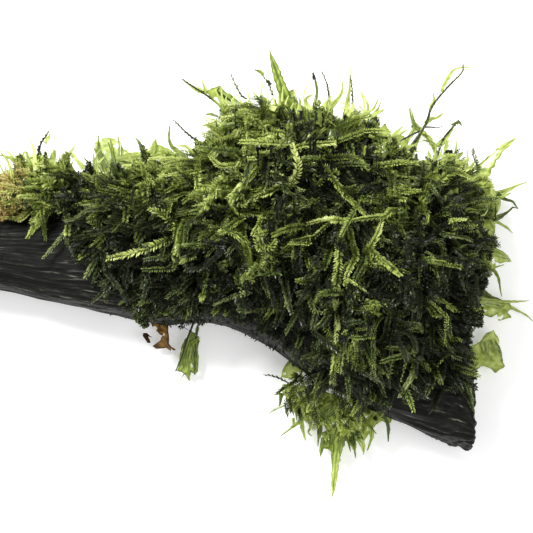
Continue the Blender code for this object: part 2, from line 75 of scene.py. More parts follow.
# Fronds that show best, placed as the photograph shows them: kind, tone, height over the moss, and
# (right, up) places in the view from root to tip
SHOWN_FRONDS = (
    ("braid", 0.80, 3.2, (-0.3, 23.2), (-4.3, 18.8), (-8.7, 14.9)),
    ("braid", 0.66, 2.6, (-5.0, 10.8), (-9.5, 7.8), (-13.3, 4.7)),
    ("feather", 0.92, 3.4, (3.9, 16.6), (6.9, 21.0), (5.6, 27.0)),
    ("feather", 0.84, 3.0, (3.6, 18.0), (0.4, 16.2), (-2.6, 15.1)),
    ("braid", 0.66, 3.0, (13.3, 20.8), (17.3, 15.7), (21.7, 11.4)),
    ("braid", 0.84, 3.2, (17.9, 9.7), (13.5, 10.3), (9.1, 9.4)),
    ("braid", 0.68, 2.8, (10.2, 8.5), (5.6, 8.6), (1.0, 6.8)),
    ("feather", 0.66, 2.6, (4.6, 27.6), (2.0, 28.0), (-0.4, 27.4)),
    ("thread", 0.86, 3.4, (11.8, 30.4), (9.4, 28.6), (7.4, 25.2)),
    ("feather", 0.70, 2.4, (-20.4, 9.2), (-22.8, 11.4), (-25.6, 12.6)),
    ("braid", 0.66, 2.6, (-1.0, 2.0), (-2.5, -0.6), (-3.8, -3.0)),
    ("braid", 0.72, 2.8, (1.6, 4.7), (0.6, 2.2), (-0.9, -0.8)),
    ("feather", 0.78, 3.2, (16.0, 5.4), (15.7, -1.4), (14.9, -5.4), (15.7, -10.0), (15.3, -16.4)),
    ("blade", 0.80, 3.6, (14.6, -3.4), (15.4, -8.0), (15.8, -13.4)),
    ("braid", 0.70, 2.8, (15.4, -16.6), (15.0, -21.0), (14.3, -25.4)),
    ("braid", 0.62, 2.8, (18.8, -12.0), (19.8, -17.0), (21.2, -22.3)),
    ("fine", 0.60, 2.4, (23.0, -16.4), (24.6, -18.8), (26.0, -21.4)),
    ("thread", 0.80, 3.8, (16.2, -1.6), (20.6, -4.6), (23.6, -6.8), (26.4, -8.6)),
    ("braid", 0.86, 3.6, (21.8, 3.0), (24.0, 6.2), (25.4, 9.8)),
    ("braid", 0.76, 3.2, (22.0, 4.4), (25.6, 1.2), (29.6, -2.2)),
    ("braid", 0.70, 3.0, (20.8, 0.6), (18.6, 0.8), (16.8, -0.6)),
    ("braid", 0.64, 2.6, (3.4, -6.6), (1.2, -9.6), (-0.8, -12.4)),
    ("fine", 0.58, 2.4, (-3.0, -5.4), (-7.2, -6.6), (-11.4, -8.4)),
    ("fine", 0.56, 2.4, (11.0, -5.4), (8.6, -7.2), (6.0, -8.4)),
    ("braid", 0.66, 2.6, (35.4, -5.6), (40.0, -8.8), (44.8, -10.7)),
    ("thread", 0.62, 3.0, (31.0, -16.0), (30.8, -20.6), (29.6, -25.2)),
    ("blade", 0.58, 2.8, (33.2, -20.6), (31.8, -24.4), (29.6, -28.4)),
    ("thread", 0.56, 2.8, (27.6, -13.4), (31.6, -17.8), (36.0, -22.8)),
    ("thread", 0.60, 2.8, (42.4, -15.6), (40.0, -19.0), (37.6, -22.0)),
    ("fine", 0.56, 2.0, (-39.6, 12.4), (-44.4, 7.2), (-49.2, 1.7)),
    ("braid", 0.66, 2.2, (-34.0, 8.4), (-37.6, 4.8), (-41.4, 1.8)),
    ("braid", 0.56, 2.2, (-35.0, 5.6), (-37.6, 1.6), (-39.8, -2.4)),
    ("feather", 0.88, 2.6, (-21.0, 6.2), (-25.6, 4.2), (-30.0, 2.8), (-35.2, 1.7)),
    ("feather", 0.80, 2.4, (-35.0, 8.0), (-37.0, 8.8), (-39.0, 9.9)),
    ("blade", 0.60, 2.6, (-18.4, 8.4), (-19.8, 4.0), (-20.2, 0.4)),
    ("braid", 0.52, 2.0, (-12.8, 6.4), (-15.0, 2.6), (-20.0, 1.2)),
    ("braid", 0.72, 2.6, (-6.4, 23.0), (-10.4, 18.6), (-15.4, 14.6)),
    ("braid", 0.70, 2.6, (-7.0, 27.4), (-12.0, 24.2), (-17.2, 21.8)),
    ("braid", 0.64, 2.4, (-9.0, 12.6), (-13.0, 13.4), (-17.6, 12.8)),
    ("fine", 0.50, 2.4, (31.4, 20.6), (35.4, 18.4), (38.6, 14.6)),
    ("thread", 0.60, 3.0, (29.6, 6.6), (33.4, 5.8), (37.4, 5.6)),
    ("blade", 0.78, 2.6, (31.8, 31.0), (35.4, 28.4), (37.6, 24.6)),
)

# Single fronds round the outline, one for each of their solids: kind, tone and half width
OUTLINE_FRONDS = {
    "frond_back_01": ("thread", 0.34, 0.36), "frond_back_02": ("thread", 0.36, 0.50),
    "frond_back_03": ("film", 0.36, 0.8), "frond_back_04": ("thread", 0.46, 0.20),
    "frond_back_05": ("film", 0.82, 1.3), "frond_back_06": ("thread", 0.50, 0.16),
    "frond_back_07": ("film", 0.64, 1.9), "frond_back_08": ("film", 0.56, 0.8),
    "frond_back_09": ("thread", 0.42, 0.34), "frond_back_10": ("film", 0.80, 0.8),
    "frond_back_11": ("thread", 0.28, 0.30), "frond_back_12": ("film", 0.82, 1.3),
    "frond_right_01": ("thread", 0.56, 0.55), "frond_right_02": ("film", 0.72, 0.8),
    "frond_right_03": ("thread", 0.26, 0.42), "frond_right_04": ("bead", 0.50, 0.4),
    "frond_right_05": ("film", 0.72, 1.0), "frond_right_06": ("film", 0.76, 2.1),
    "frond_right_07": ("film", 0.78, 0.8), "frond_right_08": ("film", 0.44, 0.8),
    "frond_right_09": ("film", 0.80, 0.6), "frond_right_10": ("film", 0.74, 1.5),
    "frond_right_11": ("film", 0.62, 0.45), "frond_right_12": ("film", 0.82, 0.6),
    "frond_right_13": ("film", 0.74, 0.9), "frond_front_01": ("thread", 0.24, 0.16),
    "frond_front_02": ("film", 0.60, 0.45), "frond_front_03": ("film", 0.66, 1.0),
    "frond_front_04": ("film", 0.74, 1.5), "frond_front_05": ("film", 0.86, 1.0),
    "frond_left_01": ("thread", 0.28, 0.36), "frond_left_02": ("film", 0.86, 0.8),
    "frond_left_03": ("film", 0.80, 0.7),
}

# Films and edge fronds above this height are laid over the moss. The lower ones pass under it.
DRAPED_FROM = 6.0
# A film is torn where it would drop more than this from one corner of a face to another
FILM_DROP = 1.2

# Wet films of leaf between the fronds: height, tone, and their edge as (right, up) in the view
FILMS = {
    "moss_back_fringe": (
        3.0, 0.84,
        (-36.4, 21.7), (-36.9, 23.9), (-37.7, 25.4), (-38.3, 26.1), (-37.7, 27.4), (-37.0, 28.9),
        (-36.4, 28.1), (-35.3, 28.5), (-34.0, 28.2), (-32.7, 28.6), (-32.2, 27.4), (-31.4, 25.6),
        (-29.6, 25.2), (-27.4, 25.2), (-25.6, 26.3), (-24.4, 28.2), (-23.9, 26.9), (-21.7, 25.9),
        (-19.5, 24.8), (-17.1, 23.6), (-15.7, 22.3), (-17.3, 21.7), (-19.9, 22.3), (-23.4, 22.6),
        (-25.6, 21.2), (-29.1, 20.6), (-29.6, 17.7), (-32.7, 17.7), (-34.9, 19.0),
    ),
    "moss_front_fringe": (
        2.4, 0.8,
        (7.8, -26.1), (3.6, -25.9), (3.2, -27.2), (4.3, -28.9), (4.7, -30.2), (5.2, -31.6), (6.0, -32.2),
        (6.9, -31.4), (7.6, -32.2), (7.8, -33.8), (9.1, -34.2), (10.9, -34.0), (12.4, -34.0),
        (13.1, -36.0), (12.7, -38.0), (11.8, -40.1), (13.3, -39.9), (14.2, -40.8), (14.4, -44.8),
        (15.1, -44.8), (15.9, -40.8), (17.1, -38.6), (18.4, -38.0), (19.9, -38.4), (20.8, -39.7),
        (21.7, -38.2), (22.8, -36.2), (24.1, -34.9), (25.4, -34.0), (26.5, -34.6), (27.4, -34.4),
        (27.8, -32.7), (23.9, -30.5), (17.3, -28.9), (11.8, -27.2),
    ),
    "front_twig_film": (
        5.0, 0.86,
        (3.2, -24.3), (3.4, -22.8), (4.5, -21.4), (6.9, -20.6), (8.2, -24.5), (5.2, -24.8),
    ),
    "moss_right_fringe": (
        3.2, 0.82,
        (47.0, -16.6), (48.3, -14.6), (50.0, -14.0), (50.9, -15.5), (51.6, -17.1), (51.4, -18.6),
        (52.0, -20.6), (52.5, -22.1), (51.4, -22.6), (50.5, -23.5), (49.4, -22.6), (47.9, -21.9),
        (46.5, -22.1), (45.6, -24.8), (44.1, -26.7), (42.1, -26.1), (40.4, -24.1), (43.0, -20.6),
        (44.8, -17.5),
    ),
    "right_middle_film": (
        4.0, 0.84,
        (47.4, -4.7), (49.6, -6.3), (51.4, -7.4), (53.1, -8.0), (54.0, -8.7), (53.1, -10.0),
        (54.0, -11.3), (52.5, -11.6), (51.1, -12.0), (50.7, -10.4), (49.4, -11.3), (47.4, -10.4),
        (45.6, -7.4),
    ),
    "right_upper_film": (
        5.5, 0.84,
        (47.0, 3.6), (49.4, 3.6), (51.4, 3.0), (52.9, 1.9), (53.6, 1.0), (52.5, 1.0), (51.4, 0.6),
        (50.5, 1.0), (50.3, -0.8), (49.0, -1.4), (47.9, -0.1), (46.1, 1.0),
    ),
    "right_skirt_film": (
        7.0, 0.84,
        (37.7, 15.9), (38.6, 17.7), (40.8, 18.6), (43.2, 19.0), (44.3, 18.8), (44.8, 21.0), (46.3, 21.7),
        (47.6, 23.2), (48.5, 21.2), (48.1, 18.4), (48.7, 16.6), (50.7, 16.2), (51.4, 14.8), (50.7, 11.8),
        (49.4, 9.8), (50.3, 8.0), (49.6, 5.4), (49.4, 3.4), (46.5, 3.2), (45.6, 9.1), (43.9, 12.0),
        (41.5, 14.2), (38.6, 14.6),
    ),
    "right_back_film": (
        7.5, 0.8,
        (30.7, 19.0), (32.0, 22.3), (33.8, 23.4), (34.9, 21.7), (37.1, 22.1), (38.8, 21.4), (40.1, 21.7),
        (40.4, 20.4), (39.5, 19.2), (38.2, 17.5), (36.9, 15.9), (32.7, 16.4),
    ),
    "mound_corner_film": (
        8.0, 0.8,
        (23.2, 27.8), (24.5, 30.0), (26.1, 31.6), (26.9, 30.0), (28.5, 29.1), (30.2, 28.7), (31.6, 26.1),
        (30.7, 22.3), (32.0, 20.1), (28.9, 19.0), (25.9, 21.7), (22.3, 25.2),
    ),
    "mound_back_film": (
        9.5, 0.78,
        (-13.3, 38.4), (-12.0, 39.3), (-10.2, 39.7), (-8.9, 38.4), (-7.2, 37.3), (-5.6, 36.0),
        (-4.5, 36.4), (-3.2, 34.9), (-1.9, 33.5), (-1.0, 35.8), (0.8, 35.8), (2.5, 34.9), (4.3, 34.6),
        (4.7, 36.2), (5.2, 38.8), (6.0, 39.3), (6.7, 37.1), (7.4, 34.9), (10.0, 34.6), (10.9, 36.6),
        (11.8, 36.6), (12.4, 34.9), (13.5, 36.4), (14.6, 35.8), (14.8, 32.7), (16.2, 32.0), (17.5, 33.5),
        (18.8, 33.1), (20.1, 33.1), (21.9, 33.8), (22.8, 33.3), (22.1, 30.9), (21.4, 28.7), (16.2, 27.8),
        (7.4, 28.3), (-3.6, 28.7), (-9.1, 33.5),
    ),
    "mound_left_film": (
        9.0, 0.76,
        (-14.0, 33.5), (-12.0, 33.8), (-9.8, 32.7), (-8.5, 30.9), (-9.3, 29.6), (-11.8, 29.4),
        (-9.8, 28.3), (-10.4, 26.9), (-12.2, 26.9), (-14.0, 25.2), (-6.7, 22.6), (-3.6, 27.4),
        (-6.9, 32.2),
    ),
    "limb_tuft_film": (
        11.0, 0.82,
        (-54.9, 23.2), (-54.2, 24.5), (-53.4, 25.4), (-52.2, 25.2), (-51.1, 24.5), (-49.4, 24.1),
        (-48.7, 23.9), (-47.6, 23.9), (-47.4, 25.6), (-46.3, 25.6), (-46.3, 23.4), (-45.4, 22.1),
        (-46.3, 21.2), (-45.4, 20.4), (-47.6, 18.1), (-52.0, 17.3), (-55.5, 19.5),
    ),
    "limb_end_film": (
        9.0, 0.66,
        (-60.0, 19.0), (-58.6, 20.4), (-57.3, 21.2), (-56.0, 21.4), (-54.2, 20.8), (-52.0, 16.8),
        (-52.5, 13.8), (-54.2, 11.6), (-54.7, 13.3), (-56.2, 13.3), (-57.8, 13.5), (-57.5, 14.8),
        (-58.6, 15.9), (-60.4, 15.9),
    ),
    "brown_leaf": (
        2.6, 0.46,
        (-25.9, -11.1), (-25.0, -13.5), (-23.9, -14.6), (-23.0, -15.1), (-23.2, -16.2), (-24.1, -16.8),
        (-25.2, -17.5), (-24.3, -18.1), (-23.4, -18.1), (-22.1, -17.8), (-21.2, -18.6), (-19.9, -18.4),
        (-20.8, -17.7), (-21.4, -17.1), (-21.4, -15.1), (-21.7, -13.3), (-21.2, -11.3),
    ),
    "brown_leaf_curl": (
        2.6, 0.24,
        (-25.0, -15.5), (-25.9, -15.1), (-26.3, -14.6), (-27.2, -14.6), (-27.2, -15.3), (-26.5, -16.4),
        (-25.9, -17.4), (-25.4, -17.3), (-25.6, -16.2), (-26.2, -15.4), (-25.4, -15.7),
    ),
    "moss_tuft_front": (
        2.6, 0.66,
        (-17.1, -14.0), (-15.7, -14.6), (-15.5, -13.1), (-14.8, -13.5), (-15.3, -15.7), (-14.6, -16.2),
        (-15.3, -18.4), (-15.3, -21.0), (-15.1, -23.2), (-15.7, -23.9), (-16.6, -23.2), (-17.1, -25.2),
        (-17.7, -24.1), (-18.8, -23.2), (-20.1, -23.0), (-19.2, -20.6), (-18.8, -17.9), (-18.1, -16.2),
        (-17.1, -15.3),
    ),
}

# Narrow fronds that run out over and past the films: kind, tone, half width, height at the root and
# at the tip, and (right, up) places in the view from root to tip
EDGE_FRONDS = (
    ("film", 0.76, 1.1, (7.5, 3.5), (9.1, -28.5), (6.0, -26.7), (3.6, -26.1)),
    ("film", 0.84, 0.9, (7.5, 4.0), (10.0, -29.4), (5.2, -28.1), (1.5, -28.2)),
    ("film", 0.66, 0.6, (7.0, 3.0), (9.1, -29.4), (5.8, -30.9), (6.0, -32.8)),
    ("film", 0.84, 1.1, (8.0, 3.0), (14.4, -29.4), (10.4, -31.8), (6.7, -34.9)),
    ("film", 0.72, 0.9, (8.0, 3.0), (15.3, -30.2), (11.8, -32.5), (8.7, -34.4)),
    ("film", 0.60, 0.6, (7.5, 3.0), (15.7, -31.6), (13.1, -33.5), (10.4, -34.9)),
    ("film", 0.58, 0.4, (7.0, 3.0), (16.2, -33.8), (13.5, -36.4), (11.1, -36.7)),
    ("film", 0.70, 0.9, (8.0, 3.0), (17.9, -31.1), (16.8, -37.3), (15.7, -43.5)),
    ("film", 0.56, 0.4, (6.5, 3.0), (16.6, -36.4), (17.9, -38.4), (18.5, -40.8)),
    ("film", 0.74, 0.8, (7.5, 3.0), (23.6, -32.0), (21.4, -35.5), (20.1, -38.2)),
    ("film", 0.78, 0.7, (7.5, 3.0), (25.4, -32.0), (23.6, -34.6), (21.9, -37.7)),
    ("film", 0.46, 0.6, (7.5, 3.0), (25.0, -32.0), (26.7, -34.6), (26.8, -38.6)),
    ("film", 0.58, 0.6, (7.5, 4.0), (12.2, -28.9), (10.9, -30.7), (8.2, -32.0)),
    ("film", 0.66, 0.7, (7.5, 4.0), (20.1, -31.1), (18.8, -33.8), (18.4, -37.3)),
    ("film", 0.52, 0.6, (7.5, 4.0), (17.3, -29.8), (15.3, -32.0), (13.1, -34.6)),
    ("film", 0.74, 0.6, (6.0, 4.5), (8.2, -20.1), (4.7, -21.4), (3.2, -24.5)),
    ("stem", 0.30, 0.2, (5.5, 4.0), (8.0, -23.2), (6.5, -24.8), (4.7, -24.8)),
    ("film", 0.50, 0.8, (5.0, 4.5), (46.5, -5.2), (49.2, -6.7), (51.8, -7.6), (53.6, -8.2)),
    ("film", 0.84, 0.9, (4.0, 3.0), (50.9, -8.7), (52.2, -10.0), (53.8, -11.3)),
    ("film", 0.46, 0.5, (3.0, 3.0), (47.9, -17.3), (48.5, -19.2), (49.4, -21.4)),
    ("film", 0.86, 1.3, (3.5, 2.5), (49.2, -16.2), (50.5, -19.2), (52.2, -22.3)),
    ("film", 0.80, 1.2, (3.5, 2.5), (47.9, -16.6), (48.7, -20.1), (50.5, -23.4)),
    ("film", 0.52, 0.5, (3.5, 2.5), (50.0, -16.6), (51.4, -18.8), (52.0, -21.9)),
    ("film", 0.78, 1.0, (5.0, 4.0), (46.5, -21.0), (45.2, -23.2), (44.1, -26.7)),
    ("film", 0.70, 1.0, (5.0, 4.0), (45.6, -21.0), (43.5, -23.6), (42.6, -26.3)),
    ("film", 0.52, 0.6, (8.0, 7.0), (44.3, 13.5), (44.3, 16.8), (44.5, 20.4)),
    ("film", 0.48, 0.5, (8.5, 8.0), (44.8, 15.5), (47.9, 16.2), (51.4, 15.5)),
    ("film", 0.44, 0.6, (7.0, 4.0), (50.7, 15.9), (52.5, 14.8), (54.2, 14.3), (54.9, 13.3), (55.5, 12.8)),
    ("film", 0.84, 0.8, (7.0, 6.0), (50.5, 15.5), (50.9, 13.3), (49.8, 10.2)),
    ("film", 0.84, 0.9, (6.5, 6.0), (47.9, 9.8), (49.8, 8.9), (49.6, 5.8)),
    ("film", 0.86, 1.4, (8.0, 7.5), (38.2, 15.5), (40.8, 17.3), (43.9, 18.8)),
    ("film", 0.64, 0.7, (8.0, 7.0), (37.3, 15.9), (39.0, 17.7), (41.7, 18.6)),
    ("film", 0.72, 1.2, (9.0, 8.0), (34.6, 16.4), (37.7, 19.5), (40.4, 20.8)),
    ("film", 0.60, 0.6, (8.0, 7.0), (32.9, 17.7), (35.5, 19.9), (38.2, 21.7)),
    ("film", 0.84, 0.6, (8.0, 6.5), (39.7, 27.8), (39.5, 26.1), (38.8, 24.1)),
    ("film", 0.66, 0.4, (7.5, 7.0), (37.7, 26.3), (36.2, 27.4), (34.4, 27.8)),
    ("film", 0.50, 0.5, (8.5, 8.0), (41.7, 31.4), (42.4, 31.8), (43.0, 30.9)),
    ("film", 0.50, 0.4, (8.5, 8.0), (42.1, 31.8), (41.2, 31.4), (40.6, 31.1)),
    ("film", 0.66, 0.9, (8.0, 10.0), (30.2, 20.8), (32.0, 24.5), (33.8, 28.9), (34.9, 31.4)),
    ("film", 0.78, 0.7, (8.0, 9.5), (28.5, 23.4), (31.6, 25.6), (33.8, 29.6)),
    ("film", 0.76, 0.6, (10.0, 9.5), (34.9, 31.4), (36.2, 32.5), (37.5, 32.7), (39.0, 33.8)),
    ("stem", 0.24, 0.26, (10.0, 9.0), (34.6, 30.7), (36.4, 30.7), (37.7, 30.5), (39.0, 31.1)),
    ("stem", 0.24, 0.26, (10.0, 8.0), (33.8, 29.8), (31.1, 28.5), (28.7, 27.2), (26.3, 25.6)),
    ("film", 0.74, 0.5, (11.0, 10.0), (36.0, 34.9), (36.9, 36.4), (36.6, 38.4)),
    ("film", 0.60, 0.6, (9.5, 9.0), (33.8, 30.2), (32.2, 31.8), (31.4, 34.9)),
    ("film", 0.84, 1.0, (9.5, 8.5), (-1.0, 30.0), (-5.8, 34.0), (-10.2, 37.5), (-13.3, 38.8)),
    ("film", 0.78, 1.0, (9.0, 8.5), (0.3, 30.0), (-3.2, 33.1), (-5.8, 35.8), (-8.5, 38.4)),
    ("film", 0.66, 0.5, (9.0, 8.5), (-5.8, 34.9), (-8.5, 37.3), (-10.7, 39.9)),
    ("film", 0.84, 0.8, (7.2, 7.0), (-14.0, 38.4), (-16.2, 39.5), (-18.4, 41.0)),
    ("bead", 0.30, 0.5, (7.2, 7.2), (-13.8, 38.2), (-14.8, 38.6)),
    ("film", 0.66, 0.5, (13.2, 13.5), (-0.6, 42.1), (-1.6, 43.0), (-2.8, 43.2)),
    ("bead", 0.28, 0.6, (12.6, 12.8), (0.8, 39.9), (0.1, 41.0)),
    ("bead", 0.36, 0.6, (11.0, 11.0), (10.4, 41.2), (10.2, 42.6)),
    ("film", 0.80, 0.45, (15.5, 16.0), (38.4, 38.4), (39.7, 41.0), (41.5, 43.5), (45.9, 43.9)),
    ("film", 0.78, 0.8, (7.0, 7.5), (37.7, 26.3), (39.5, 28.3), (41.0, 30.7), (41.9, 31.8)),
    ("film", 0.80, 0.7, (13.5, 13.5), (-49.0, 27.2), (-48.1, 28.5), (-47.5, 29.8)),
    ("film", 0.78, 0.5, (7.5, 7.5), (-13.1, 38.0), (-13.8, 39.7), (-14.2, 41.2)),
    ("film", 0.30, 0.6, (10.0, 9.0), (-2.3, 29.6), (-6.7, 32.7), (-9.8, 35.8)),
    ("film", 0.50, 0.4, (8.0, 7.5), (-7.6, 29.1), (-9.8, 29.6), (-12.0, 29.5)),
    ("film", 0.80, 1.2, (9.0, 9.0), (-1.0, 30.0), (-1.0, 33.1), (-0.8, 35.8)),
    ("film", 0.76, 1.2, (9.5, 9.0), (1.2, 30.0), (1.0, 33.1), (0.8, 35.8)),
    ("film", 0.72, 1.1, (9.5, 9.0), (3.4, 30.0), (3.2, 32.7), (2.8, 35.1)),
    ("film", 0.88, 1.3, (13.0, 13.0), (7.4, 31.4), (6.7, 34.9), (5.9, 39.7)),
    ("film", 0.62, 1.0, (10.0, 10.0), (8.7, 30.9), (8.5, 33.1), (8.2, 35.1)),
    ("film", 0.66, 0.9, (10.0, 10.0), (10.0, 30.9), (10.7, 34.0), (10.7, 37.7)),
    ("film", 0.66, 0.7, (9.0, 9.0), (13.1, 31.4), (13.5, 34.0), (13.8, 36.6)),
    ("film", 0.80, 0.6, (11.0, 11.0), (14.2, 35.3), (15.7, 36.9), (16.8, 38.8), (16.6, 41.2)),
    ("film", 0.80, 0.9, (9.5, 9.0), (17.9, 30.0), (17.9, 32.2), (17.5, 33.8)),
    ("film", 0.52, 0.8, (9.0, 8.5), (19.7, 29.6), (20.6, 31.8), (21.4, 33.8)),
    ("film", 0.56, 0.7, (8.5, 8.0), (21.0, 29.6), (22.1, 31.8), (22.8, 34.0)),
    ("stem", 0.34, 0.12, (8.5, 8.5), (21.9, 32.2), (24.5, 33.5), (27.6, 35.5)),
    ("film", 0.80, 1.0, (8.5, 8.0), (26.7, 26.1), (28.5, 27.8), (30.2, 28.7)),
    ("film", 0.60, 0.8, (8.5, 8.0), (25.9, 25.2), (24.8, 27.8), (24.1, 29.8)),
    ("film", 0.84, 1.0, (8.5, 8.0), (28.5, 21.2), (29.8, 23.9), (31.1, 26.1)),
    ("film", 0.76, 0.8, (8.5, 8.0), (28.9, 19.9), (30.7, 22.1), (32.5, 23.4)),
    ("film", 0.58, 0.6, (6.5, 6.5), (-13.5, 25.6), (-15.1, 26.5), (-15.5, 27.2)),
    ("film", 0.62, 0.8, (3.5, 3.5), (-35.8, 20.8), (-36.9, 23.9), (-38.0, 26.1)),
    ("film", 0.60, 0.7, (3.5, 3.5), (-34.9, 21.7), (-36.9, 25.6), (-37.0, 28.9)),
    ("film", 0.66, 0.8, (3.5, 3.5), (-34.0, 22.1), (-34.0, 25.2), (-34.4, 28.1)),
    ("film", 0.64, 0.8, (3.5, 3.5), (-32.7, 22.1), (-32.2, 25.6), (-32.6, 28.6)),
    ("film", 0.86, 1.4, (4.0, 3.5), (-33.1, 23.4), (-27.8, 24.3), (-25.2, 25.6), (-24.4, 28.2)),
    ("film", 0.70, 0.6, (4.0, 3.5), (-25.6, 22.6), (-24.3, 25.2), (-24.4, 28.1)),
    ("film", 0.82, 1.2, (4.0, 3.5), (-25.6, 23.9), (-22.1, 24.8), (-18.1, 23.4), (-15.7, 22.1)),
    ("film", 0.60, 0.6, (4.0, 3.5), (-31.4, 22.6), (-28.3, 23.9), (-23.9, 23.9)),
    ("film", 0.74, 1.0, (12.0, 11.5), (-51.1, 18.6), (-52.0, 22.1), (-53.1, 25.6)),
    ("film", 0.62, 0.9, (12.0, 11.5), (-52.0, 18.6), (-53.8, 21.2), (-54.9, 23.2)),
    ("film", 0.66, 0.8, (12.0, 11.5), (-49.8, 19.0), (-50.7, 22.1), (-51.4, 24.5)),
    ("film", 0.80, 1.0, (12.0, 11.5), (-47.6, 19.0), (-47.9, 21.7), (-48.3, 24.3)),
    ("bead", 0.24, 0.5, (13.0, 13.5), (-48.7, 23.4), (-49.8, 24.8), (-50.3, 25.9), (-49.8, 26.7)),
    ("film", 0.64, 0.6, (10.0, 9.5), (-46.8, 20.4), (-46.1, 21.7), (-45.4, 22.8)),
    ("film", 0.50, 0.9, (9.0, 9.0), (-45.4, 16.8), (-43.2, 19.0), (-41.2, 21.0)),
    ("stem", 0.24, 0.2, (11.0, 10.5), (-52.0, 19.5), (-54.7, 20.8), (-56.9, 22.3)),
    ("stem", 0.24, 0.25, (11.0, 11.0), (-51.1, 17.7), (-54.2, 18.6), (-57.3, 19.5)),
    ("film", 0.44, 1.4, (10.5, 10.0), (-54.2, 14.6), (-56.9, 16.8), (-59.5, 18.6)),
    ("film", 0.50, 1.2, (10.5, 10.0), (-52.9, 17.7), (-56.0, 19.5), (-59.1, 19.9)),
    ("film", 0.62, 1.2, (10.0, 9.0), (-52.5, 15.5), (-55.1, 15.1), (-57.8, 14.0)),
    ("film", 0.36, 1.0, (10.0, 9.0), (-52.0, 14.6), (-53.8, 13.3), (-54.7, 11.1)),
    ("stem", 0.18, 0.35, (9.0, 3.0),
     (-15.5, -10.9), (-16.6, -14.0), (-17.5, -16.2), (-19.0, -21.0), (-20.0, -23.1)),
    ("stem", 0.18, 0.35, (9.0, 3.5), (-14.4, -10.9), (-15.1, -13.5), (-15.5, -16.2)),
    ("stem", 0.18, 0.18, (9.0, 3.5), (-19.5, -11.3), (-18.8, -12.9), (-17.1, -14.0)),
    ("film", 0.66, 0.7, (3.5, 2.8), (-16.4, -14.8), (-17.7, -18.8), (-19.5, -22.8)),
    ("film", 0.72, 0.8, (3.5, 2.6), (-16.2, -15.3), (-17.3, -20.6), (-16.9, -25.2)),
    ("film", 0.56, 0.8, (3.5, 2.8), (-15.7, -15.3), (-15.9, -19.7), (-15.8, -23.9)),
    ("film", 0.66, 0.7, (3.5, 2.8), (-15.9, -16.2), (-15.3, -19.7), (-15.2, -23.0)),
    ("film", 0.86, 0.6, (4.0, 3.5), (-16.4, -17.1), (-15.5, -16.2), (-14.5, -15.7)),
    ("stem", 0.20, 0.12, (2.6, 1.5), (-17.7, -23.2), (-19.0, -25.0), (-19.1, -27.2)),
)

# Frond kinds: leaf length, leaf width, spacing along a row, leaf angle from the stem, leaf rows as
# angles round the stem, stem radius
KINDS = {
    "braid": dict(leaf=1.05, width=0.42, spacing=0.50, angle=50.0, rows=(-82, 82, -36, 36), stem=0.14),
    "feather": dict(leaf=1.25, width=0.45, spacing=0.62, angle=56.0, rows=(-84, 84, 12), stem=0.12),
    "fine": dict(leaf=0.85, width=0.34, spacing=0.50, angle=48.0, rows=(-82, 82, 0), stem=0.10),
    "blade": dict(leaf=1.5, width=0.8, spacing=0.7, angle=22.0, rows=(-75, 75, 0), stem=0.15),
    "thread": dict(leaf=0.7, width=0.4, spacing=1.0, angle=14.0, rows=(-80, 80, 0), stem=0.15),
    "bead": dict(leaf=0.6, width=0.5, spacing=0.8, angle=35.0, rows=(-80, 80, 0, 180), stem=0.12),
}

# Leaf outlines: a broad one for the fronds that show best, and a plain kite for the rest
BROAD_LEAF = ((0, 1, 3), (0, 3, 2), (1, 4, 3), (3, 4, 2))
KITE_LEAF = ((0, 1, 3), (0, 3, 2))


def unit(vector):
    return vector / max(np.linalg.norm(vector), 1e-9)


def units(rows):
    return rows / np.maximum(np.linalg.norm(rows, axis=1, keepdims=True), 1e-9)


class Bunch:
    """Many fronds gathered into one mesh, each vertex with a tone and an age."""

    def __init__(self):
        self.verts, self.faces, self.tones, self.ages = [], [], [], []
        self.count = 0

    def add(self, verts, faces, tones, age):
        self.verts.append(verts)
        self.faces.append(faces + self.count)
        self.tones.append(tones)
        self.ages.append(np.full(len(verts), age))
        self.count += len(verts)

    def build(self, name, material):
        verts = np.concatenate(self.verts)
        verts[:, 2] = np.maximum(verts[:, 2], 0.15)
        verts = verts * MM
        faces = np.concatenate(self.faces)
        mesh = bpy.data.meshes.new(name)
        mesh.vertices.add(len(verts))
        mesh.vertices.foreach_set("co", verts.astype(np.float32).ravel())
        mesh.loops.add(faces.size)
        mesh.loops.foreach_set("vertex_index", faces.astype(np.int32).ravel())
        mesh.polygons.add(len(faces))
        mesh.polygons.foreach_set("loop_start", np.arange(0, faces.size, 3, dtype=np.int32))
        mesh.polygons.foreach_set("use_smooth", np.ones(len(faces), dtype=bool))
        mesh.update(calc_edges=True)
        for label, values in (("tone", self.tones), ("age", self.ages)):
            attribute = mesh.attributes.new(label, "FLOAT", "POINT")
            attribute.data.foreach_set("value", np.concatenate(values).astype(np.float32))
        mesh.materials.append(material)
        piece = bpy.data.objects.new(name, mesh)
        bpy.context.scene.collection.objects.link(piece)
        print(name, len(faces), "triangles")
        return piece


def along(path, places):
    """Points and directions at these distances along a path."""
    steps = np.linalg.norm(np.diff(path, axis=0), axis=1)
    marks = np.concatenate(((0.0,), np.cumsum(np.maximum(steps, 1e-6))))
    points = np.column_stack([np.interp(places, marks, path[:, k]) for k in range(3)])
    slopes = np.gradient(path, marks, axis=0)
    heads = units(np.column_stack([np.interp(places, marks, slopes[:, k]) for k in range(3)]))
    return points, heads


def path_length(path):
    return float(np.linalg.norm(np.diff(path, axis=0), axis=1).sum())


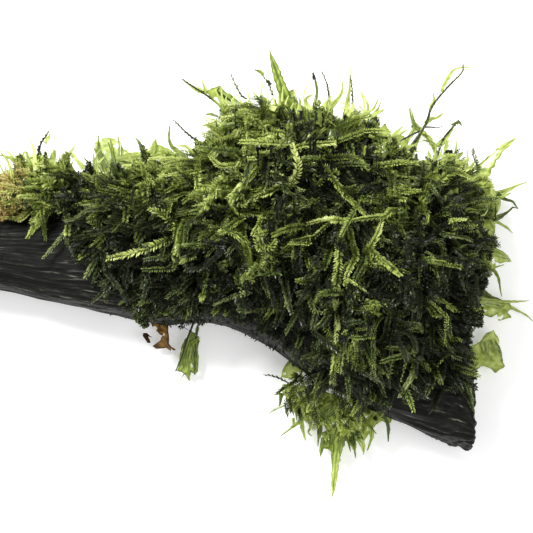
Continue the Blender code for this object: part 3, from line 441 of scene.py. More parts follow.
def add_stem(bunch, path, radius, tone, age, step=1.8):
    """A three-sided stem that tapers to its tip."""
    length = path_length(path)
    count = max(4, int(length / step))
    points, heads = along(path, np.linspace(0, length, count))
    side = units(np.cross(heads, UP + 0.01))
    over = np.cross(side, heads)
    rings = []
    for k in range(3):
        turn = 2 * math.pi * k / 3
        ring = side * math.cos(turn) + over * math.sin(turn)
        rings.append(points + ring * (radius * np.linspace(1.0, 0.35, count))[:, None])
    verts = np.stack(rings, axis=1).reshape(-1, 3)
    faces = []
    for i in range(count - 1):
        for k in range(3):
            a, b = 3 * i + k, 3 * i + (k + 1) % 3
            faces += [(a, b, b + 3), (a, b + 3, a + 3)]
    bunch.add(verts, np.array(faces), np.full(len(verts), tone), age)


def add_leaves(bunch, path, facing, kind, tone, age, size=1.0, brighten=0.25, broad=False, start=0.0):
    """Rows of cupped leaves along a path. facing is the way the frond's flat side looks."""
    length = path_length(path)
    leaf, width = kind["leaf"] * size, kind["width"] * size
    spacing = kind["spacing"] * size
    for order, row in enumerate(kind["rows"]):
        places = np.arange(start * length + spacing * (0.2 + 0.5 * (order % 2)), length, spacing)
        if len(places) == 0:
            continue
        count = len(places)
        places = places + RNG.uniform(-0.12, 0.12, count) * spacing
        share = np.clip(places / length, 0, 1)
        points, heads = along(path, places)
        face = units(facing - heads * (heads @ facing)[:, None])
        side = np.cross(heads, face)
        turn = math.radians(row) + RNG.normal(0, 0.14, count)
        out = face * np.cos(turn)[:, None] + side * np.sin(turn)[:, None]
        angle = np.radians(kind["angle"] * (1.08 - 0.45 * share)) + RNG.normal(0, 0.10, count)
        way = heads * np.cos(angle)[:, None] + out * np.sin(angle)[:, None]
        in_plane = out * np.cos(angle)[:, None] - heads * np.sin(angle)[:, None]
        flat = 0.75 * abs(math.sin(math.radians(row)))
        blade = in_plane * flat + np.cross(heads, out) * (1 - flat)
        blade = units(blade - way * np.sum(blade * way, axis=1, keepdims=True))
        back = np.cross(way, blade)
        back *= np.sign(np.sum(back * face, axis=1, keepdims=True) + 1e-6)
        grow = 0.62 + 0.5 * np.sin(np.pi * np.clip(share * 0.8 + 0.18, 0, 1))
        grow *= RNG.uniform(0.85, 1.12, count)
        reach = (leaf * grow)[:, None]
        half = (0.5 * width * grow)[:, None]
        root = points + out * kind["stem"] * 0.6
        middle = root + way * reach * 0.46
        tip = root + way * reach + back * reach * RNG.uniform(-0.05, 0.22, count)[:, None]
        cup = back * half * 0.55
        left, right = middle + blade * half + cup, middle - blade * half + cup
        shade = tone + brighten * (share - 0.5) + RNG.normal(0, 0.06, count)
        # Each leaf's tip is painted paler, partly its own paler tip and partly painted glint on the wet leaf; its
        # root and a broad leaf's lowered middle are darker.
        if broad:
            rows, shape, lights = (root, left, right, middle, tip), BROAD_LEAF, (-0.20, 0.04, 0.04, -0.08, 0.36)
        else:
            rows, shape, lights = (root, left, right, tip), KITE_LEAF, (-0.20, 0.0, 0.0, 0.38)
        first = np.arange(count)[:, None, None] * len(rows)
        faces = (first + np.array(shape)[None]).reshape(-1, 3)
        tones = shade[:, None] + np.array(lights)[None]
        bunch.add(np.stack(rows, axis=1).reshape(-1, 3), faces, np.clip(tones, 0, 1).ravel(), age)


def add_frond(bunch, path, facing, kind, tone, age=0.0, size=1.0, brighten=0.25, broad=False):
    style = KINDS[kind]
    add_stem(bunch, path, style["stem"], tone * 0.5, age)
    add_leaves(bunch, path, facing, style, tone, age, size, brighten, broad)


# Surfaces to grow from

def mesh_object(name, source):
    """A copy of a solid's mesh as a new object."""
    copy = bpy.data.objects.new(name, source.data.copy())
    bpy.context.scene.collection.objects.link(copy)
    return copy


def settle_modifiers(obj):
    """The object's mesh becomes what its modifiers make of it."""
    bpy.context.view_layer.update()
    graph = bpy.context.evaluated_depsgraph_get()
    mesh = bpy.data.meshes.new_from_object(obj.evaluated_get(graph))
    obj.modifiers.clear()
    obj.data = mesh


def remesh(obj, voxel, smooth_steps):
    """An even mesh of the same form, with its small edges worn off."""
    cells = obj.modifiers.new("cells", "REMESH")
    cells.mode = "VOXEL"
    cells.voxel_size = voxel * MM
    worn = obj.modifiers.new("worn", "SMOOTH")
    worn.factor = 0.5
    worn.iterations = smooth_steps
    settle_modifiers(obj)


def coordinates(mesh):
    values = np.empty(len(mesh.vertices) * 3, np.float32)
    mesh.vertices.foreach_get("co", values)
    return values.reshape(-1, 3).astype(float)


def normals(mesh):
    values = np.empty(len(mesh.vertices) * 3, np.float32)
    mesh.vertex_normals.foreach_get("vector", values)
    return values.reshape(-1, 3).astype(float)


def shift_vertices(obj, places):
    obj.data.vertices.foreach_set("co", places.astype(np.float32).ravel())
    obj.data.update()


class Ground:
    """What fronds root in and lie on: its surface, and random places on it."""

    def __init__(self, objects):
        verts, faces = [], []
        for obj in objects:
            obj.data.calc_loop_triangles()
            start = len(verts)
            verts += [tuple(v.co / MM) for v in obj.data.vertices]
            faces += [tuple(start + k for k in t.vertices) for t in obj.data.loop_triangles]
        self.tree = BVHTree.FromPolygons(verts, faces)
        self.corners = np.array(verts)[np.array(faces)]
        cross = np.cross(self.corners[:, 1] - self.corners[:, 0], self.corners[:, 2] - self.corners[:, 0])
        self.areas = np.linalg.norm(cross, axis=1) / 2
        self.faces_out = cross / (2 * self.areas[:, None] + 1e-12)

    def scatter(self, count, keep):
        """Random roots with their normals, thinned by keep(points, normals), which gives a chance."""
        chosen = RNG.choice(len(self.areas), size=count, p=self.areas / self.areas.sum())
        u, v = RNG.random(count), RNG.random(count)
        fold = u + v > 1
        u[fold], v[fold] = 1 - u[fold], 1 - v[fold]
        c = self.corners[chosen]
        points = c[:, 0] + (c[:, 1] - c[:, 0]) * u[:, None] + (c[:, 2] - c[:, 0]) * v[:, None]
        outs = self.faces_out[chosen]
        kept = RNG.random(count) < keep(points, outs)
        return points[kept], outs[kept]

    def nearest(self, point):
        place, out, _, distance = self.tree.find_nearest(Vector(point))
        return np.array(place), np.array(out), distance

    def lies_beyond(self, point, margin):
        """Whether a point is past the outline, seen from above, by more than the margin."""
        hit = self.tree.ray_cast(Vector((point[0], point[1], 80.0)), Vector((0, 0, -1)))[0]
        return hit is None and self.tree.find_nearest(Vector(point))[3] > margin


def within_outline(path, margin=0.4):
    """The part of a path that stays over the mass of moss and wood, or None if little is left."""
    for k, point in enumerate(path):
        if outline.lies_beyond(point, margin):
            return path[:k] if k > 3 else None
    return path


def creep(ground, root, heading, length, height, droop, curl, steps=9):
    """The path of a frond that grows from root, keeps at least height above the ground and droops."""
    path = [np.array(root, float)]
    heading = unit(heading)
    stride = length / steps
    for k in range(steps):
        place = path[-1] + heading * stride
        near, out, _ = ground.nearest(place)
        above = float((place - near) @ out)
        least = height * min(1.0, (k + 1) / 3)
        if above < least:
            place = place + out * (least - above)
        place[2] = max(place[2], 0.6)
        heading = unit(place - path[-1])
        path.append(place)
        side = np.cross(heading, out)
        heading = unit(heading + side * curl * stride - UP * droop * stride)
    return np.array(path)


def flow_at(points):
    """Which way the moss combs at these places, as flat directions."""
    away = units(points[:, :2] - np.array(MOUND_HEART) + 1e-6)
    limb = np.clip((-points[:, 0] - 6.0) / 14.0, 0, 1)[:, None]
    back = np.clip((points[:, 1] - 12.0) / 8.0, 0, 1)[:, None]
    left = np.array((-0.82, -0.57)) * (1 - back) + np.array((-0.45, 0.89)) * back
    flat = units(away * (1 - limb) + left * limb)
    return np.column_stack((flat, np.zeros(len(points))))


def turned(flat, angles):
    c, s = np.cos(angles), np.sin(angles)
    return np.column_stack((flat[:, 0] * c - flat[:, 1] * s, flat[:, 0] * s + flat[:, 1] * c, flat[:, 2]))


def patchy(points, size, seed):
    """A smooth random field, about 0 to 1, over these places."""
    return np.array([0.5 + 0.6 * noise.noise(Vector(p) / size + Vector((seed, 0, 0))) for p in points])


# The change of tone from the patches above, partly painted light and shade.
def tone_and_painted_light_at(points):
    total = np.zeros(len(points))
    for x, y, reach, change in TONE_AND_PAINTED_LIGHT_PATCHES:
        gap = np.hypot(points[:, 0] - x, points[:, 1] - y) / reach
        total += change * np.exp(-gap * gap)
    return total


def tan_at(points):
    total = np.zeros(len(points))
    for x, y, reach in TAN_PATCHES:
        gap = np.hypot(points[:, 0] - x, points[:, 1] - y) / reach
        total = np.maximum(total, np.clip(1.5 - gap, 0, 1))
    return total


def ages(points, tones):
    """Above 0 the moss is tan, and below 0 it is dull and grey, as it is where it is dark."""
    tan = tan_at(points) * RNG.uniform(0.4, 1.0, len(points))
    dull = np.clip((0.44 - tones) / 0.30, 0, 1)
    return np.where(tan > 0.1, tan, -dull)


def carpet(bunch, ground, count, keep, length, height, lift, tone, wander, kinds, spread, seed, size=1.0):
    """A layer of fronds over the ground, which all comb the same way."""
    points, outs = ground.scatter(count, keep)
    flows = turned(flow_at(points), RNG.normal(0, spread, len(points)))
    tones = tone + tone_and_painted_light_at(points) + wander * (patchy(points, 6.0, seed) - 0.5)
    tones = np.clip(tones + RNG.normal(0, 0.11, len(points)), 0.02, 0.95)
    olds = ages(points, tones)
    for point, out, flow, shade, old in zip(points, outs, flows, tones, olds):
        heading = out * lift * RNG.uniform(0.6, 1.3) + flow
        path = creep(ground, point, heading, RNG.uniform(*length), height * RNG.uniform(0.5, 1.4),
                     RNG.uniform(0.02, 0.07), RNG.normal(0, 0.06))
        facing = unit(out * 0.8 + UP * 0.5 + RNG.normal(0, 0.35, 3))
        kind = kinds[RNG.integers(len(kinds))]
        path = within_outline(path)
        if path is not None:
            add_frond(bunch, path, facing, kind, float(shade), float(old), size * RNG.uniform(0.85, 1.12))


def sprinkle(bunch, ground, count, keep, tone):
    """Loose leaves that stand on the ground at all angles, as the tangle under the fronds, their tips painted pale,
    partly as glints.
    """
    points, outs = ground.scatter(count, keep)
    count = len(points)
    way = units(outs * 0.7 + RNG.normal(0, 0.6, (count, 3)))
    blade = units(np.cross(way, RNG.normal(0, 1, (count, 3))))
    back = np.cross(way, blade)
    reach = RNG.uniform(0.45, 1.1, count)[:, None]
    half = reach * 0.24
    root = points - outs * 0.1
    middle = root + way * reach * 0.5
    rows = (root, middle + blade * half + back * half * 0.5, middle - blade * half + back * half * 0.5,
            root + way * reach)
    faces = (np.arange(count)[:, None, None] * 4 + np.array(KITE_LEAF)[None]).reshape(-1, 3)
    shade = tone + 0.5 * tone_and_painted_light_at(points) + RNG.normal(0, 0.10, count)
    # The tip of each loose leaf is painted much paler: partly its own pale tip, partly painted glint, the specks of
    # wet light in the dark tangle.
    tones = shade[:, None] + np.array((-0.2, 0.0, 0.0, 0.5))[None]
    bunch.add(np.stack(rows, axis=1).reshape(-1, 3), faces, np.clip(tones, 0, 1).ravel(), -1.0)


# Materials

def new_material(name):
    material = bpy.data.materials.new(name)
    material.use_nodes = True
    tree = material.node_tree
    tree.nodes.clear()
    return material, tree


def ramp_node(tree, stops):
    node = tree.nodes.new("ShaderNodeValToRGB")
    elements = node.color_ramp.elements
    while len(elements) > 1:
        elements.remove(elements[-1])
    elements[0].position, elements[0].color = stops[0][0], (*stops[0][1], 1)
    for place, colour in stops[1:]:
        elements.new(place).color = (*colour, 1)
    return node


def math_node(tree, operation, first, *numbers, clamp=False):
    """A maths node fed by one link and then plain numbers."""
    node = tree.nodes.new("ShaderNodeMath")
    node.operation = operation
    node.use_clamp = clamp
    tree.links.new(first, node.inputs[0])
    for k, number in enumerate(numbers):
        node.inputs[k + 1].default_value = number
    return node.outputs[0]


def mix_node(tree, factor, first, second):
    node = tree.nodes.new("ShaderNodeMix")
    node.data_type = "RGBA"
    tree.links.new(factor, node.inputs["Factor"])
    tree.links.new(first, node.inputs["A"])
    tree.links.new(second, node.inputs["B"])
    return node.outputs["Result"]


def noise_node(tree, vector, scale, detail, roughness=0.5):
    node = tree.nodes.new("ShaderNodeTexNoise")
    node.inputs["Scale"].default_value = scale
    node.inputs["Detail"].default_value = detail
    node.inputs["Roughness"].default_value = roughness
    tree.links.new(vector, node.inputs["Vector"])
    return node.outputs["Fac"]


def leaf_colours(tree):
    """The colour of moss from its tone and its age, with a fine mottle."""
    tone = tree.nodes.new("ShaderNodeAttribute")
    tone.attribute_name = "tone"
    age = tree.nodes.new("ShaderNodeAttribute")
    age.attribute_name = "age"
    coords = tree.nodes.new("ShaderNodeTexCoord")
    mottle = noise_node(tree, coords.outputs["Object"], 900.0, 2.0)
    shift = math_node(tree, "MULTIPLY_ADD", mottle, 0.22, -0.11)
    total = tree.nodes.new("ShaderNodeMath")
    total.operation = "ADD"
    tree.links.new(tone.outputs["Fac"], total.inputs[0])
    tree.links.new(shift, total.inputs[1])
    greens = ramp_node(tree, (
        (0.0, (0.004, 0.005, 0.002)),
        (0.25, (0.020, 0.029, 0.008)),
        (0.5, (0.115, 0.165, 0.027)),
        (0.75, (0.36, 0.45, 0.085)),
        (1.0, (0.70, 0.76, 0.27)),
    ))
    dulls = ramp_node(tree, (
        (0.0, (0.004, 0.0045, 0.002)),
        (0.25, (0.016, 0.020, 0.008)),
        (0.5, (0.090, 0.115, 0.042)),
        (0.75, (0.25, 0.30, 0.15)),
        (1.0, (0.55, 0.60, 0.42)),
    ))
    tans = ramp_node(tree, (
        (0.0, (0.010, 0.005, 0.002)),
        (0.35, (0.10, 0.045, 0.012)),
        (0.65, (0.42, 0.24, 0.06)),
        (1.0, (0.72, 0.55, 0.26)),
    ))
    for ramp in (greens, dulls, tans):
        tree.links.new(total.outputs[0], ramp.inputs["Fac"])
    old = math_node(tree, "MULTIPLY", age.outputs["Fac"], 1.0, clamp=True)
    dark = math_node(tree, "MULTIPLY", age.outputs["Fac"], -1.0, clamp=True)
    fresh = mix_node(tree, dark, greens.outputs["Color"], dulls.outputs["Color"])
    return mix_node(tree, old, fresh, tans.outputs["Color"])


def wet_leaf_material(name, see_through, roughness, coat):
    """Wet leaves: a glossy skin, and light that comes through from behind."""
    material, tree = new_material(name)
    colour = leaf_colours(tree)
    shader = tree.nodes.new("ShaderNodeBsdfPrincipled")
    shader.inputs["Roughness"].default_value = roughness
    shader.inputs["Specular IOR Level"].default_value = 0.3
    shader.inputs["Coat Weight"].default_value = coat
    shader.inputs["Coat Roughness"].default_value = 0.12
    through = tree.nodes.new("ShaderNodeBsdfTranslucent")
    mixed = tree.nodes.new("ShaderNodeMixShader")
    mixed.inputs["Fac"].default_value = see_through
    output = tree.nodes.new("ShaderNodeOutputMaterial")
    tree.links.new(colour, shader.inputs["Base Color"])
    tree.links.new(colour, through.inputs["Color"])
    tree.links.new(shader.outputs["BSDF"], mixed.inputs[1])
    tree.links.new(through.outputs["BSDF"], mixed.inputs[2])
    tree.links.new(mixed.outputs["Shader"], output.inputs["Surface"])
    return material


def rough_material(name, vector_attribute, scale, stops, roughness, specular, bump_depth, detail=5.0):
    """A dark, uneven surface: noise sets both its colour and its bumps."""
    material, tree = new_material(name)
    if vector_attribute:
        source = tree.nodes.new("ShaderNodeAttribute")
        source.attribute_name = vector_attribute
        vector = source.outputs["Vector"]
    else:
        source = tree.nodes.new("ShaderNodeTexCoord")
        vector = source.outputs["Object"]
    pattern_noise = noise_node(tree, vector, scale, detail, 0.62)
    colours = ramp_node(tree, stops)
    bump = tree.nodes.new("ShaderNodeBump")
    bump.inputs["Strength"].default_value = 0.9
    bump.inputs["Distance"].default_value = bump_depth * MM
    shader = tree.nodes.new("ShaderNodeBsdfPrincipled")
    shader.inputs["Roughness"].default_value = roughness
    shader.inputs["Specular IOR Level"].default_value = specular
    output = tree.nodes.new("ShaderNodeOutputMaterial")
    tree.links.new(pattern_noise, colours.inputs["Fac"])
    tree.links.new(pattern_noise, bump.inputs["Height"])
    tree.links.new(colours.outputs["Color"], shader.inputs["Base Color"])
    tree.links.new(bump.outputs["Normal"], shader.inputs["Normal"])
    tree.links.new(shader.outputs["BSDF"], output.inputs["Surface"])
    return material


def core_material():
    # Near-black: partly the old, dense moss inside, partly painted shade of the deep interior seen between the
    # fronds.
    stops = ((0.35, (0.002, 0.003, 0.0015)), (0.7, (0.010, 0.016, 0.005)))
    return rough_material("moss_core", None, 1100.0, stops, 0.7, 0.12, 0.4)


def wood_grain_and_painted_highlight_material():
    # Near-black grain, and at the top of the ramp pale grey streaks along the grain that are painted highlights of
    # the wet wood.
    stops = (
        (0.36, (0.0020, 0.0020, 0.0014)),
        (0.50, (0.0045, 0.0045, 0.0034)),
        (0.60, (0.013, 0.013, 0.010)),
        (0.66, (0.075, 0.076, 0.060)),
        (0.76, (0.25, 0.25, 0.21)),
    )
    return rough_material("driftwood_wet_painted_highlights", "grain", 1.0, stops, 0.42, 0.10, 0.5, 7.0)


def floor_material():
    stops = ((0.2, (0.925, 0.925, 0.925)), (0.8, (0.935, 0.935, 0.935)))
    material = rough_material("pale_floor", None, 40.0, stops, 0.8, 0.1, 0.01)
    shader = next(node for node in material.node_tree.nodes if node.type == "BSDF_PRINCIPLED")
    shader.inputs["Emission Color"].default_value = (1, 1, 1, 1)
    shader.inputs["Emission Strength"].default_value = 0.24
    return material


# Pieces

def finish_piece(piece, slot, *nodes):
    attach(piece, "root")
    if nodes:
        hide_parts(*nodes)
    return piece


def make_wood():
    """The driftwood with its grain cut in, in place of the plain solid."""
    wood = mesh_object("driftwood_grain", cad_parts["driftwood"])
    remesh(wood, 0.5, 1)
    places, outs = coordinates(wood.data) / MM, normals(wood.data)
    x = places[:, 0]
    bins = np.linspace(x.min(), x.max(), 30)
    slot = np.digitize(x, bins)
    filled = [k for k in range(1, 31) if (slot == k).any()]
    fronts = [places[slot == k, 1].min() for k in filled]
    backs = [places[slot == k, 1].max() for k in filled]
    marks = bins[np.array(filled) - 1]
    front, back = np.interp(x, marks, fronts), np.interp(x, marks, backs)
    across = (places[:, 1] - front) / np.maximum(back - front, 1.0)
    grain = np.column_stack((x / 17.0, across * 16.0 + places[:, 2] * 0.35, places[:, 2] * 0.55))
    depth = np.array([
        0.55 * noise.noise(Vector(g)) + 0.28 * noise.noise(Vector((g[0] * 2.2, g[1] * 2.6, g[2] * 2.6)))
        for g in grain
    ])
    chips = np.array([noise.noise(Vector(p) / 1.1) + 0.6 * noise.noise(Vector(p) / 2.6) for p in places])
    broken = 0.55 * chips * np.clip((x - 35.0) / 5.0, 0, 1)
    high = np.clip(places[:, 2] / 3.0, 0, 1)
    places = places + outs * ((depth * 0.9 + broken) * high)[:, None]
    places[:, 2] = np.maximum(places[:, 2], 0.0)
    shift_vertices(wood, places * MM)
    attribute = wood.data.attributes.new("grain", "FLOAT_VECTOR", "POINT")
    fine = grain * np.array((1.6, 2.4, 2.4))
    attribute.data.foreach_set("vector", fine.astype(np.float32).ravel())
    wood.data.materials.clear()
    wood.data.materials.append(wood_grain_and_painted_highlight_material())
    wood.data.shade_smooth()
    return finish_piece(wood, "wood", "driftwood")


def make_core(node, material, slot, rim_depth):
    """The dark heart of a cushion, inside its solid and further in at the back, where films stand."""
    core = mesh_object(node + "_core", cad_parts[node])
    remesh(core, 0.9, 14)
    places, outs = coordinates(core.data) / MM, normals(core.data)
    rough = np.array([noise.noise(Vector(p) / 2.2) for p in places])
    places = places + outs * (rough * 0.9 - 0.7)[:, None]
    places[:, 1] -= rim_depth * np.clip((outs[:, 1] - 0.15) / 0.5, 0, 1)
    shift_vertices(core, places * MM)
    core.data.materials.clear()
    core.data.materials.append(material)
    core.data.shade_smooth()
    return finish_piece(core, slot)


def upward(least):
    return lambda points, outs: (outs[:, 2] > least).astype(float)


def dense_where_light(least, floor):
    """Fewer fronds where the moss is dark, so that the ones that are there stand out."""
    return lambda points, outs: (outs[:, 2] > least) * np.clip(floor + 2.4 * tone_and_painted_light_at(points) + 0.45, floor, 1)


def make_mound_fronds(ground, material):
    under, low, mid, top = Bunch(), Bunch(), Bunch(), Bunch()
    braids = ("braid", "braid", "fine")
    # The lower layers get darker tones than the upper ones: partly older moss, partly painted shade under the
    # fronds above.
    sprinkle(under, ground, 40000, upward(-0.4), 0.22)
    carpet(low, ground, 1950, upward(-0.45), (4.5, 8.0), 0.2, 0.6, 0.12, 0.25, ("fine", "braid"), 0.9, 3)
    carpet(mid, ground, 1900, dense_where_light(-0.3, 0.35), (6.0, 11.0), 0.9, 0.9, 0.31, 0.45, braids, 0.6, 5, 0.9)
    carpet(top, ground, 620, dense_where_light(-0.1, 0.15), (8.0, 13.0), 1.9, 1.1, 0.50, 0.45, braids, 0.5, 8, 0.98)
    finish_piece(under.build("mound_loose_leaves", material), "moss_dark")
    finish_piece(low.build("mound_fronds_low", material), "moss_dark")
    finish_piece(mid.build("mound_fronds_mid", material), "moss_dark", "moss_mound")
    finish_piece(top.build("mound_fronds_top", material), "moss_mid")


def behind_limb(points):
    """The limb's own tuft stays behind the limb, which is bare in front of it."""
    return np.clip((points[:, 1] - 9.0 + 0.25 * (points[:, 0] + 46.0)) / 2.0, 0, 1)


def make_cushion_fronds(node, ground, material, slot, size, tone):
    """The fronds of a smaller cushion. size is about its area, as a share of the mound's."""
    def keep(points, outs):
        here = behind_limb(points) if node == "moss_limb_tuft" else 1.0
        return (outs[:, 2] > -0.45) * here

    def keep_light(points, outs):
        return keep(points, outs) * dense_where_light(-0.3, 0.3)(points, outs)

    bunch = Bunch()
    braids = ("braid", "braid", "fine")
    # The lower layers get darker tones than the upper ones: partly older moss, partly painted shade under the
    # fronds above.
    sprinkle(bunch, ground, int(40000 * size), keep, 0.22)
    carpet(bunch, ground, int(2350 * size), keep, (3.5, 6.5), 0.2, 0.6, tone - 0.12, 0.3, braids, 0.9, 3, 0.9)
    carpet(bunch, ground, int(1900 * size), keep_light, (4.5, 8.5), 0.8, 0.9, tone, 0.45, braids, 0.6, 5, 0.9)
    finish_piece(bunch.build(node + "_fronds", material), slot, node)


def over_the_wood(points, outs):
    """Where moss has spread thinly over the wood: its broad end, but not its last corner."""
    x, y = points[:, 0], points[:, 1]
    start = np.clip((x + 40.0) / 20.0, 0, 1) ** 1.6
    wander = noise_edge(points)
    behind = np.clip((y + 28.5 + wander) / 2.0, 0, 1)
    inward = np.clip((27.0 + wander - x) / 3.0, 0, 1)
    return (outs[:, 2] > 0.1) * start * np.maximum(behind, inward)


def noise_edge(points):
    return np.array([2.0 * noise.noise(Vector(p) / 4.0) for p in points])


def lock_tips(node, ground):
    """The tips of the locks of a cushion's solid: its points that stand furthest from its core."""
    places = coordinates(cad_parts[node].data) / MM
    reach = np.array([ground.nearest(place)[2] for place in places])
    tips = []
    for k in np.argsort(-reach):
        if reach[k] < 3.2:
            break
        if all(np.linalg.norm(places[k] - other) > 1.6 for other in tips):
            tips.append(places[k])
    return tips


def make_lock_fronds(node, ground, material):
    """A single bold frond along each lock of a cushion's solid."""
    bunch = Bunch()
    tips = np.array(lock_tips(node, ground))
    tones = np.clip(0.52 + 1.1 * tone_and_painted_light_at(tips) + RNG.normal(0, 0.12, len(tips)), 0.12, 0.9)
    olds = ages(tips, tones)
    for tip, tone, old in zip(tips, tones, olds):
        near, out, reach = ground.nearest(tip)
        flow = turned(flow_at(near[None]), RNG.normal(0, 0.3, 1))[0]
        root = near - flow * reach * 0.9 - out * 0.5
        bend = near * 0.6 + tip * 0.4 + out * 0.5
        path = smoothed(np.array((root, (root + bend) / 2 + out * 0.8, bend, tip)), 12)
        facing = unit(UP + 0.4 * out + RNG.normal(0, 0.2, 3))
        if outline.lies_beyond(tip, 0.6):
            add_film_blade(bunch, path, facing, RNG.uniform(0.35, 0.8), tone + 0.12, min(old, 0.0))
        else:
            kind = ("braid", "braid", "fine")[RNG.integers(3)]
            add_frond(bunch, path, facing, kind, tone, old, RNG.uniform(0.8, 1.05), 0.2, True)
    finish_piece(bunch.build(node + "_locks", material), "moss_mid")


def make_front_skirt(ground, material):
    """Loose wet fronds that hang from the wood's front edge over the front films."""
    bunch = Bunch()
    carpet(bunch, ground, 150, upward(0.1), (3.0, 6.0), 0.1, 0.4, 0.42, 0.5, ("blade", "fine"), 0.5, 21)
    points, outs = ground.scatter(70, upward(0.2))
    for point, out, flow in zip(points, outs, turned(flow_at(points), RNG.normal(0, 0.4, len(points)))):
        path = creep(ground, point, flow + out * 0.2, RNG.uniform(3.0, 6.0), 0.1, 0.06, 0.0)
        add_film_blade(bunch, path, unit(UP + 0.4 * out), RNG.uniform(0.3, 0.6), RNG.uniform(0.4, 0.75))
    finish_piece(bunch.build("moss_front_skirt_fronds", material), "moss_mid", "moss_front_skirt")


def make_wood_fronds(ground, material):
    bunch = Bunch()
    # The lower layers get darker tones than the upper ones: partly older moss, partly painted shade under the
    # fronds above.
    sprinkle(bunch, ground, 26000, over_the_wood, 0.18)
    carpet(bunch, ground, 2150, over_the_wood, (3.5, 7.0), 0.2, 0.6, 0.18, 0.3, ("fine", "braid"), 0.7, 14, 0.9)
    carpet(bunch, ground, 1200, over_the_wood, (4.5, 8.5), 0.7, 0.8, 0.34, 0.5, ("braid", "fine"), 0.6, 15, 0.9)
    finish_piece(bunch.build("driftwood_fronds", material), "moss_dark")


def spine_of(node):
    """The line along the middle of a frond's solid, from its root to its tip."""
    places = coordinates(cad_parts[node].data) / MM
    clear = [everything.nearest(place)[2] for place in places]
    tip = places[int(np.argmax(clear))]
    gaps = np.linalg.norm(places - tip, axis=1)
    spread = gaps.max() / 7
    line = [tip]
    for gap in np.linspace(spread, gaps.max(), 6):
        weight = np.exp(-((gaps - gap) / spread) ** 2)
        line.append((places * weight[:, None]).sum(axis=0) / weight.sum())
    line.append(2 * line[-1] - line[-2])
    return np.array(line[::-1])


def smoothed(path, count=14):
    """The same route as a smooth curve with even steps."""
    marks = np.linspace(0, len(path) - 1, count)
    padded = np.vstack((2 * path[0] - path[1], path, 2 * path[-1] - path[-2]))
    route = []
    for mark in marks:
        leg = min(int(mark), len(path) - 2)
        t = mark - leg
        a, b, c, d = padded[leg:leg + 4]
        route.append(0.5 * (2 * b + (c - a) * t + (2 * a - 5 * b + 4 * c - d) * t**2
                            + (3 * b - a - 3 * c + d) * t**3))
    return np.array(route)


def add_film_blade(bunch, path, facing, width, tone, age=0.0):
    """A narrow wet blade of leaves stuck together: ragged edges and a rib painted dark as shade, and the raised
    strips between painted pale as highlight.
    """
    length = path_length(path)
    count = max(7, int(length / 0.65))
    points, heads = along(path, np.linspace(0, length, count))
    share = np.linspace(0, 1, count)
    half = width * (1 - share**1.5) * (0.85 + 0.15 * np.sin(9 * share + length)) + 0.10
    face = units(facing - heads * (heads @ facing)[:, None])
    side = np.cross(heads, face)
    ragged = RNG.uniform(0.72, 1.12, (count, 2))
    across = np.array((-1.0, -0.5, 0.0, 0.5, 1.0))
    raised = np.array((0.0, 0.20, 0.05, 0.20, 0.0))
    # Painted light on the folds: the raised strips get a painted highlight, the low rib and edges painted shade.
    fold_highlight_and_shade = np.array((-0.22, 0.08, -0.18, 0.10, -0.22))
    rows = []
    for k in range(5):
        reach = (half * across[k] * ragged[:, int(across[k] > 0)])[:, None]
        rows.append(points + side * reach + face * (half * raised[k])[:, None])
    faces = []
    for i in range(count - 1):
        for k in range(4):
            a = 5 * i + k
            faces += [(a, a + 1, a + 6), (a, a + 6, a + 5)]
    tones = tone + fold_highlight_and_shade[None] + RNG.normal(0, 0.07, (count, 5))
    bunch.add(np.stack(rows, axis=1).reshape(-1, 3), np.array(faces), np.clip(tones, 0, 1).ravel(), age)


def add_edge_frond(bunch, path, kind, tone, width):
    """A frond of the outline: a wet film, a dark thread with close leaves, beads or a bare stem."""
    facing = unit(UP + RNG.normal(0, 0.15, 3))
    old = -max(0.0, 0.6 - tone)
    if kind == "film":
        add_film_blade(bunch, path, facing, width, tone, old)
    else:
        add_stem(bunch, path, width, tone * 0.6, old, 0.8)
    if kind in ("thread", "bead"):
        add_leaves(bunch, path, facing, KINDS[kind], tone, old, 1.0, 0.2, True)


def make_outline_fronds(film):
    """A frond for each single frond's solid."""
    for node, (kind, tone, width) in OUTLINE_FRONDS.items():
        bunch = Bunch()
        add_edge_frond(bunch, smoothed(spine_of(node), 18), kind, tone, width)
        finish_piece(bunch.build(node + "_leaves", film), "moss_mid", node)


def make_edge_fronds(film):
    """The fronds that the photograph shows over the films and past them."""
    bunch = Bunch()
    for kind, tone, width, (low, high), *route in EDGE_FRONDS:
        flat = smoothed(np.array([(*place, 0.0) for place in route]), 10)[:, :2]
        heights = np.linspace(low, high, len(flat))
        if high > DRAPED_FROM:
            heights = [draped(place, z)[0] for place, z in zip(flat, heights)]
            heights = np.convolve(np.pad(heights, 2, mode="edge"), np.ones(5) / 5, mode="valid")
        path =np.array([seen_at(place, z) for place, z in zip(flat, heights)])
        add_edge_frond(bunch, path, kind, tone, width)
    finish_piece(bunch.build("edge_fronds", film), "moss_bright")


# The view, for what is placed as the photograph shows it

def view_axes():
    tilt = math.radians(CAMERA_ELEVATION)
    away = np.array((0.0, -math.cos(tilt), math.sin(tilt)))
    return np.array((1.0, 0.0, 0.0)), np.array((0.0, math.sin(tilt), math.cos(tilt))), away


def camera_place():
    distance = VIEW_WIDTH * CAMERA_LENS / CAMERA_SENSOR
    return np.array((0.0, 0.0, VIEW_HEIGHT)) + view_axes()[2] * distance


def sight(place):
    """The line from the camera through a place in the view."""
    right, up, _ = view_axes()
    eye = camera_place()
    through = np.array((0.0, 0.0, VIEW_HEIGHT)) + right * place[0] + up * place[1]
    return eye, unit(through - eye)


def seen_at(place, height):
    """Where that line comes down to this height."""
    eye, way = sight(place)
    return eye + way * ((height - eye[2]) / way[2])


